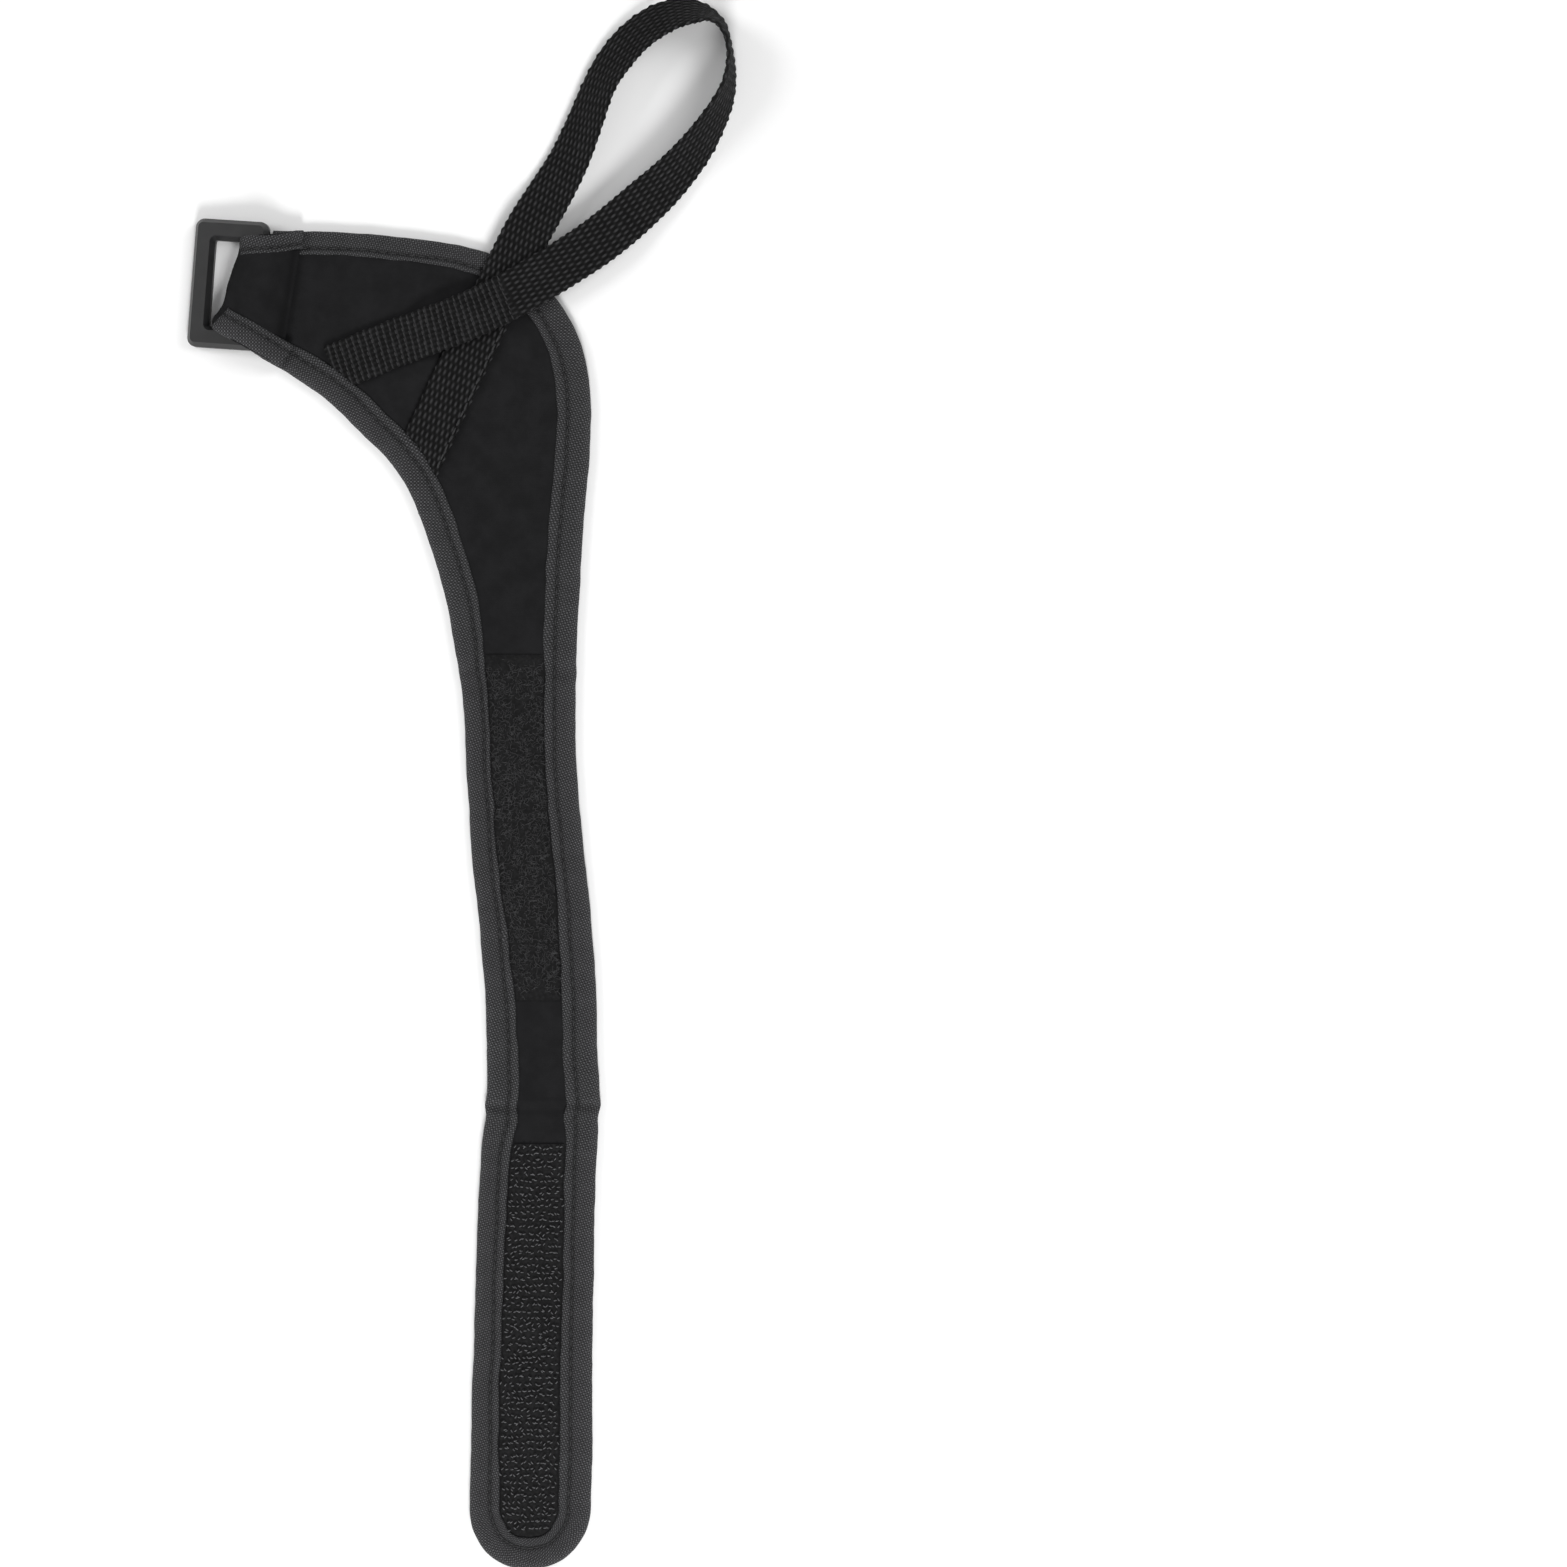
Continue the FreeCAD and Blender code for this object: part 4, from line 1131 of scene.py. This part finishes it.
class CUFF_OT_webbing(bpy.types.Operator):
    """Woven webbing: one leg sewn to the palm, a free loop, and the other leg sewn over the first"""
    bl_idname = "cuff.webbing"
    bl_label = "Webbing"

    def execute(self, context):
        sizes, finishes = context.scene.cuff_webbing, context.scene.cuff_finishes
        web = WebPath(WEB_STEP)
        half, thick, crown = sizes.width / MM / 2, sizes.thick / MM / 2, sizes.crown / MM
        s, share = web.s[:, None], np.linspace(-1, 1, WEB_COLUMNS)[None]
        scallop = 0.16 * np.sin(2 * np.pi * s / (sizes.row / MM)) * np.sign(share) * (np.abs(share) > 0.8)
        w = share * half + scallop
        rounding = np.sqrt(np.clip(1 - (np.abs(share) - 0.90).clip(0) ** 2 / 0.0108, 0.04, 1))
        sewn_here, ridges = self.sewn_rows(web, s, w)
        crest_top = weave_height(s, w, sizes) * (1 - sewn_here) + ridges * sewn_here
        crest_low = weave_height(s, w, sizes, 0.7)
        sag = 0.10 * ripple(s, 21, 63) + 0.07 * ripple(s * 0.6 + w * 3, 17, 64)
        puff = 1 + 0.10 * np.abs(share) ** 3
        top = (thick * puff - 0.14 + crown * crest_top) * rounding + sag
        low = (-thick + 0.14 - crown * 0.8 * crest_low) * rounding + sag
        points = [web.middle[:, None] + web.side[:, None] * w[..., None] + web.face[:, None] * h[..., None]
                  for h in (top, low)]
        ends = (s < CUT_ENDS[0]) | (s > web.s[-1] - CUT_ENDS[1])
        under = np.where(ends, tucked(points[0]), 0)
        for face, level in zip(points, CUT_LEVELS):
            face[..., 2] = face[..., 2] * (1 - under) + level * under
        cloth = np.stack(np.broadcast_arrays(s, w), -1)
        points, faces, cloth = slab_mesh(*points, cloth)
        crest = np.r_[crest_top.ravel(), crest_low.ravel()]
        piece = facing_out(make_piece("webbing", points, faces, cloth, crest,
                                      webbing_finish("webbing", finishes.yarn)))
        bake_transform(piece)
        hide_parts("webbing_leg_lower", "webbing_leg_upper", "webbing_loop")
        self.stitches(web, half, finishes)
        return {"FINISHED"}

    def sewn_rows(self, web, s, w):
        """Ridges that the rows of stitching pull up across the sewn end, and where they are."""
        from_end = web.s[-1] - s + w * SEWN_LEAN
        here = np.clip((SEWN_END + 1.5 - from_end) / 3, 0, 1)
        turn = 2 * np.pi * (from_end - SEWN_START) / SEWN_PITCH
        dots = np.cos(2 * np.pi * (w + 0.25 * np.sin(s)) / SEWN_ACROSS)
        ridge = (0.5 + 0.5 * np.cos(turn)) ** 3.4 * (0.84 + 0.16 * dots)
        between = (0.5 - 0.5 * np.cos(turn)) * (0.5 + 0.5 * dots) ** 2 * 0.5
        return here, np.maximum(ridge, between)

    def stitches(self, web, half, finishes):
        """Thread over the sewn end's rows, and the row along the lower leg's edge."""
        chance = random.Random(7)
        places, ways = [], []
        for place in np.arange(SEWN_START, SEWN_END, SEWN_PITCH):
            for w in np.arange(-half + SEWN_INSET, half - 0.6, SEWN_ACROSS):
                at = web.s[-1] - place + w * SEWN_LEAN + 0.12 * (chance.random() - 0.5)
                i = int(np.clip(np.searchsorted(web.s, at), 0, len(web.s) - 1))
                side = w + 0.12 * (chance.random() - 0.5)
                places.append(web.middle[i] + web.side[i] * side + web.face[i] * 0.66)
                ways.append(web.side[i])
        i = np.searchsorted(web.s, np.arange(*EDGE_ROW))
        row = web.middle[i] + web.side[i] * -(half - SEWN_INSET) + web.face[i] * 0.70
        thread = thread_finish("webbing_thread", finishes.yarn, 1.5)
        for name, at, way, size in (
                ("stitches_webbing_end", np.array(places), np.array(ways), ACROSS_STITCH),
                ("stitches_webbing_edge", row, web.along[i], ALONG_STITCH)):
            clear = tucked(at) <= 0
            piece = stitch_row(name, at[clear], way[clear], size, thread)
            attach(piece, "palm")
            if name == "stitches_webbing_edge":
                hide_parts("webbing_thread")


# ---- closure -------------------------------------------------------------------------------------
LOOP_ZONE = (WRAP_Y[0] - 93.6, WRAP_Y[0] - 3.9)
HOOK_ZONE = (TIP_Y + 8.6, FOLD_Y - 9.9)
TAPE_STEP, TAPE_COLUMNS = 0.5, 30
TAPE_GAP = 0.15                 # from the binding to the tape's edge
TAPE_UNDER = 2.1                # height of both tapes' underside
LOOP_GROUND, HOOK_GROUND = (2.28, 0.52), (2.2, 0.48)     # height of a tape's edge, and its rise inside it
LOOP_FOOT, HOOK_FOOT = 2.62, 2.60                        # height that the loops and hooks stand on
LOOP_RADIUS = 0.055
HOOK_RADII = np.array([0.14, 0.135, 0.13, 0.14, 0.13, 0.08])
HOOK_BEND = np.array([(0.0, 0.0), (-0.06, 0.45), (0.04, 0.80), (0.30, 0.97), (0.55, 0.88), (0.66, 0.62)])


def tape_grid(y0, y1, span):
    """Grid of points of a closure tape that lie in a span, from y0 up to y1."""
    high, low = min(y1, CUT_Y[span]), max(y0, CUT_Y[span + 1])
    rows = np.linspace(high, low, int((high - low) / TAPE_STEP) + 2)
    left, right = row_limits(TAPE_GAP)(rows)
    share = np.linspace(0, 1, TAPE_COLUMNS)
    x = left[:, None] + (right - left)[:, None] * share
    return x, np.repeat(rows[:, None], TAPE_COLUMNS, 1), share


class CUFF_OT_loop_tape(bpy.types.Operator):
    """Soft loop side of the closure: a brushed pile on a woven ground"""
    bl_idname = "cuff.loop_tape"
    bl_label = "Loop Tape"

    def execute(self, context):
        sizes, finishes = context.scene.cuff_closure, context.scene.cuff_finishes
        ground = pile_finish("loop_ground", finishes.pile, 1.0, 0.55)
        fibre = fibre_finish("loop_fibre", finishes.pile, 2.3)
        for span, (_, link) in enumerate(SPANS[:4]):
            if min(LOOP_ZONE[1], CUT_Y[span]) <= max(LOOP_ZONE[0], CUT_Y[span + 1]):
                continue
            x, y, share = tape_grid(*LOOP_ZONE, span)
            side = np.clip(np.minimum(share, 1 - share) * 9, 0, 1) ** 0.5
            tuft = 0.10 * ripple(x * 1.3 + y, 2.3, 71) * ripple(y * 1.1 - x, 2.9, 72)
            ends = np.clip(np.minimum(y - LOOP_ZONE[0], LOOP_ZONE[1] - y) * 1.2, 0.25, 1) ** 0.5
            base, rise = LOOP_GROUND
            top = base + (rise + tuft + 0.06 * ripple(x * 2 + y * 0.6, 7, 73)) * side * ends
            tape = flat_piece(f"loop_tape_{link}", x, y, top, TAPE_UNDER, ground)
            fuzz = self.fuzz(link, y.min(), y.max(), sizes.pile, fibre)
            for piece in (tape, fuzz):
                bend_over(piece, span)
            if f"{link}_loop_tape" in frame["nodes"]:
                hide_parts(f"{link}_loop_tape")
        return {"FINISHED"}

    def fuzz(self, link, y0, y1, per_tenth, finish):
        """Small arched loops of yarn that stand out of the ground in every direction."""
        chance = np.random.RandomState(int(-y0 * 10))
        count = int(per_tenth * (y1 - y0) / 100)
        y = chance.uniform(y0 + 0.3, y1 - 0.3, count)
        left, right = row_limits(TAPE_GAP)(y)
        x = left + 0.35 + (right - left - 0.7) * chance.uniform(0, 1, count)
        turn, reach = chance.uniform(0, 2 * np.pi, count), chance.uniform(0.45, 1.05, count)
        bow, tall = chance.uniform(-0.6, 0.6, count), chance.uniform(0.22, 0.62, count)
        t = np.linspace(-1, 1, 6)[None]
        ahead = np.stack([np.cos(turn), np.sin(turn)], 1)
        side = np.stack([-np.sin(turn), np.cos(turn)], 1)
        flat = (np.stack([x, y], 1)[:, None] + ahead[:, None] * (t * reach[:, None])[..., None]
                + side[:, None] * ((t ** 2 - 0.4) * bow[:, None])[..., None])
        z = LOOP_FOOT + tall[:, None] * (1 - t ** 2) + 0.05 * t
        patch = ripple(x * 1.7 + y * 0.6, 9, 74) + 0.7 * ripple(y - x * 1.2, 5, 75)
        ends = np.minimum(y - LOOP_ZONE[0], LOOP_ZONE[1] - y) < 2.2 + 1.6 * patch
        stay = ~ends & (patch > chance.uniform(-2.2, 0.2, count))
        flat, z = flat[stay], z[stay]
        flat[..., 1] = np.clip(flat[..., 1], y0, y1)
        points, faces = many_tubes(np.concatenate([flat, z[..., None]], -1), LOOP_RADIUS * np.ones(6), 3)
        return make_piece(f"loop_fuzz_{link}", points, faces, material=finish)


class CUFF_OT_hook_tape(bpy.types.Operator):
    """Stiff hook side of the closure, on the tail: rows of small bent hooks"""
    bl_idname = "cuff.hook_tape"
    bl_label = "Hook Tape"

    def execute(self, context):
        sizes, finishes = context.scene.cuff_closure, context.scene.cuff_finishes
        x, y, share = tape_grid(*HOOK_ZONE, TAIL)
        weave = 0.05 * np.cos(2 * np.pi * y / (sizes.hook_row / MM))
        side = np.clip(np.minimum(share, 1 - share) * 12, 0, 1) ** 0.5
        top = HOOK_GROUND[0] + (HOOK_GROUND[1] + weave) * side
        tape = flat_piece("hook_tape", x, y, top, TAPE_UNDER,
                          pile_finish("hook_ground", finishes.pile, 0.6, 0.6))
        hooks = self.hooks(sizes, fibre_finish("hook_yarn", finishes.pile, 5.2, 0.42))
        for piece in (tape, hooks):
            bend_over(piece, TAIL)
        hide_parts("tail_hook_tape")
        return {"FINISHED"}

    def hooks(self, sizes, finish):
        row, pitch, tall = sizes.hook_row / MM, sizes.hook_pitch / MM, sizes.hook_height / MM
        chance = np.random.RandomState(5)
        places = []
        for k, y in enumerate(np.arange(HOOK_ZONE[1] - 0.9, HOOK_ZONE[0] + 0.8, -row)):
            left, right = row_limits(TAPE_GAP)(np.array([y]))
            x = np.arange(left[0] + 0.6 + pitch * 0.5 * (k % 2), right[0] - 0.5, pitch)
            rise = 0.30 * ripple(x * 1.0 + k * 3.1, 14, 81) * min(k, 4) / 4
            x = x + 0.16 * chance.randn(len(x))
            places.append(np.stack([x, y + rise + 0.21 * chance.randn(len(x))], 1))
        flat = np.concatenate(places)
        count = len(flat)
        facing = np.where(chance.rand(count) < 0.5, 1.0, -1.0)
        lean = chance.uniform(-0.95, 0.95, count)
        size = tall * chance.uniform(0.85, 1.1, count)
        out = HOOK_BEND[None, :, 0] * size[:, None] * 1.3
        dx, dy = out * np.cos(lean)[:, None] * facing[:, None], out * np.sin(lean)[:, None]
        z = HOOK_FOOT + HOOK_BEND[None, :, 1] * size[:, None]
        paths = np.stack([flat[:, :1] + dx, flat[:, 1:] + dy, z], -1)
        points, faces = many_tubes(paths, HOOK_RADII, 5)
        return make_piece("hooks", points, faces, material=finish)


# ---- ring ----------------------------------------------------------------------------------------
class CUFF_OT_ring_finish(bpy.types.Operator):
    """Satin moulded plastic on the ring"""
    bl_idname = "cuff.ring_finish"
    bl_label = "Ring Finish"

    def execute(self, context):
        ring = frame["nodes"]["ring"]
        ring.material_slots[0].material = plastic_finish("ring_plastic", context.scene.cuff_finishes.plastic)
        return {"FINISHED"}


# ---- stage ---------------------------------------------------------------------------------------
SENSOR = 36.0                      # width of the camera's sensor in millimetres
VIEW_MIDDLE = (81.5, -102.3)       # the strap lies in the left half of the view
FLOOR_REACH, FLOOR_DROP, FLOOR_LINES = 2600.0, 0.15, 9
SKY = 0.36                         # strength of the even light all round
# Name, place, what it is aimed at, width and power of each light.
LIGHTS = (("key", (120, -1150, 900), (30, -100, 0), 480, 14.0),
          ("fill", (1000, 500, 1000), (0, -100, 0), 900, 8.0),
          ("side", (-1050, 300, 850), (-20, -50, 0), 700, 7.0))


class CUFF_OT_stage(bpy.types.Operator):
    """Pale floor, soft studio lights and a camera straight over the floor"""
    bl_idname = "cuff.stage"
    bl_label = "Stage"

    def execute(self, context):
        scene, stage = context.scene, context.scene.cuff_stage
        self.camera(scene, stage)
        self.floor(scene.cuff_finishes.floor)
        for light in LIGHTS:
            self.light(*light)
        world = scene.world or bpy.data.worlds.new("studio")
        scene.world = world
        world.use_nodes = True
        sky = world.node_tree.nodes["Background"].inputs
        sky["Color"].default_value = (1, 1, 1, 1)
        sky["Strength"].default_value = SKY
        scene.view_settings.view_transform = "Standard"
        return {"FINISHED"}

    def camera(self, scene, stage):
        lens = bpy.data.cameras.new("camera")
        lens.lens, lens.sensor_width = stage.lens, SENSOR
        camera = bpy.data.objects.new("camera", lens)
        camera.location = Vector((*VIEW_MIDDLE, stage.view / MM * stage.lens / SENSOR)) * MM
        scene.collection.objects.link(camera)
        scene.camera = camera

    def floor(self, tint):
        steps = np.linspace(-FLOOR_REACH, FLOOR_REACH, FLOOR_LINES)
        x, y = np.meshgrid(steps, steps, indexing="ij")
        points = np.stack([x, y, np.full_like(x, -FLOOR_DROP)], -1).reshape(-1, 3)
        floor = make_piece("floor", points, grid_faces(FLOOR_LINES, FLOOR_LINES),
                           material=floor_finish("floor_paper", tint))

    def light(self, name, place, aim, size, power):
        lamp = bpy.data.lights.new(name, "AREA")
        lamp.shape, lamp.size, lamp.energy = "DISK", size * MM, power
        light = bpy.data.objects.new(name, lamp)
        light.location = Vector(place) * MM
        light.rotation_euler = (Vector(aim) - Vector(place)).to_track_quat("-Z", "Y").to_euler()
        bpy.context.scene.collection.objects.link(light)


# ---- add-on --------------------------------------------------------------------------------------
PIECES = (CUFF_OT_stage, CUFF_OT_panels, CUFF_OT_linings, CUFF_OT_bindings, CUFF_OT_stitches, CUFF_OT_flap,
          CUFF_OT_webbing, CUFF_OT_loop_tape, CUFF_OT_hook_tape, CUFF_OT_ring_finish)
SIZES = {"cuff_laminate": LaminateSizes, "cuff_webbing": WebbingSizes, "cuff_closure": ClosureSizes,
         "cuff_finishes": Finishes, "cuff_stage": StageSizes}


class CUFF_PT_pieces(bpy.types.Panel):
    """Lists the strap's pieces and their sizes"""
    bl_label = "Cuff Strap"
    bl_space_type = "VIEW_3D"
    bl_region_type = "UI"
    bl_category = "Cuff Strap"

    def draw(self, context):
        for group in SIZES:
            box = self.layout.box()
            settings = getattr(context.scene, group)
            for name in settings.__annotations__:
                box.prop(settings, name)
        for piece in PIECES:
            self.layout.operator(piece.bl_idname)


def register():
    for group in (*SIZES.values(), *PIECES, CUFF_PT_pieces):
        bpy.utils.register_class(group)
    for name, group in SIZES.items():
        setattr(bpy.types.Scene, name, PointerProperty(type=group))


def unregister():
    for name in SIZES:
        delattr(bpy.types.Scene, name)
    for group in (CUFF_PT_pieces, *PIECES[::-1], *tuple(SIZES.values())[::-1]):
        bpy.utils.unregister_class(group)


def main():
    register()
    for piece in PIECES:
        family, name = piece.bl_idname.split(".")
        getattr(getattr(bpy.ops, family), name)()


if __name__ == "__main__":
    main()
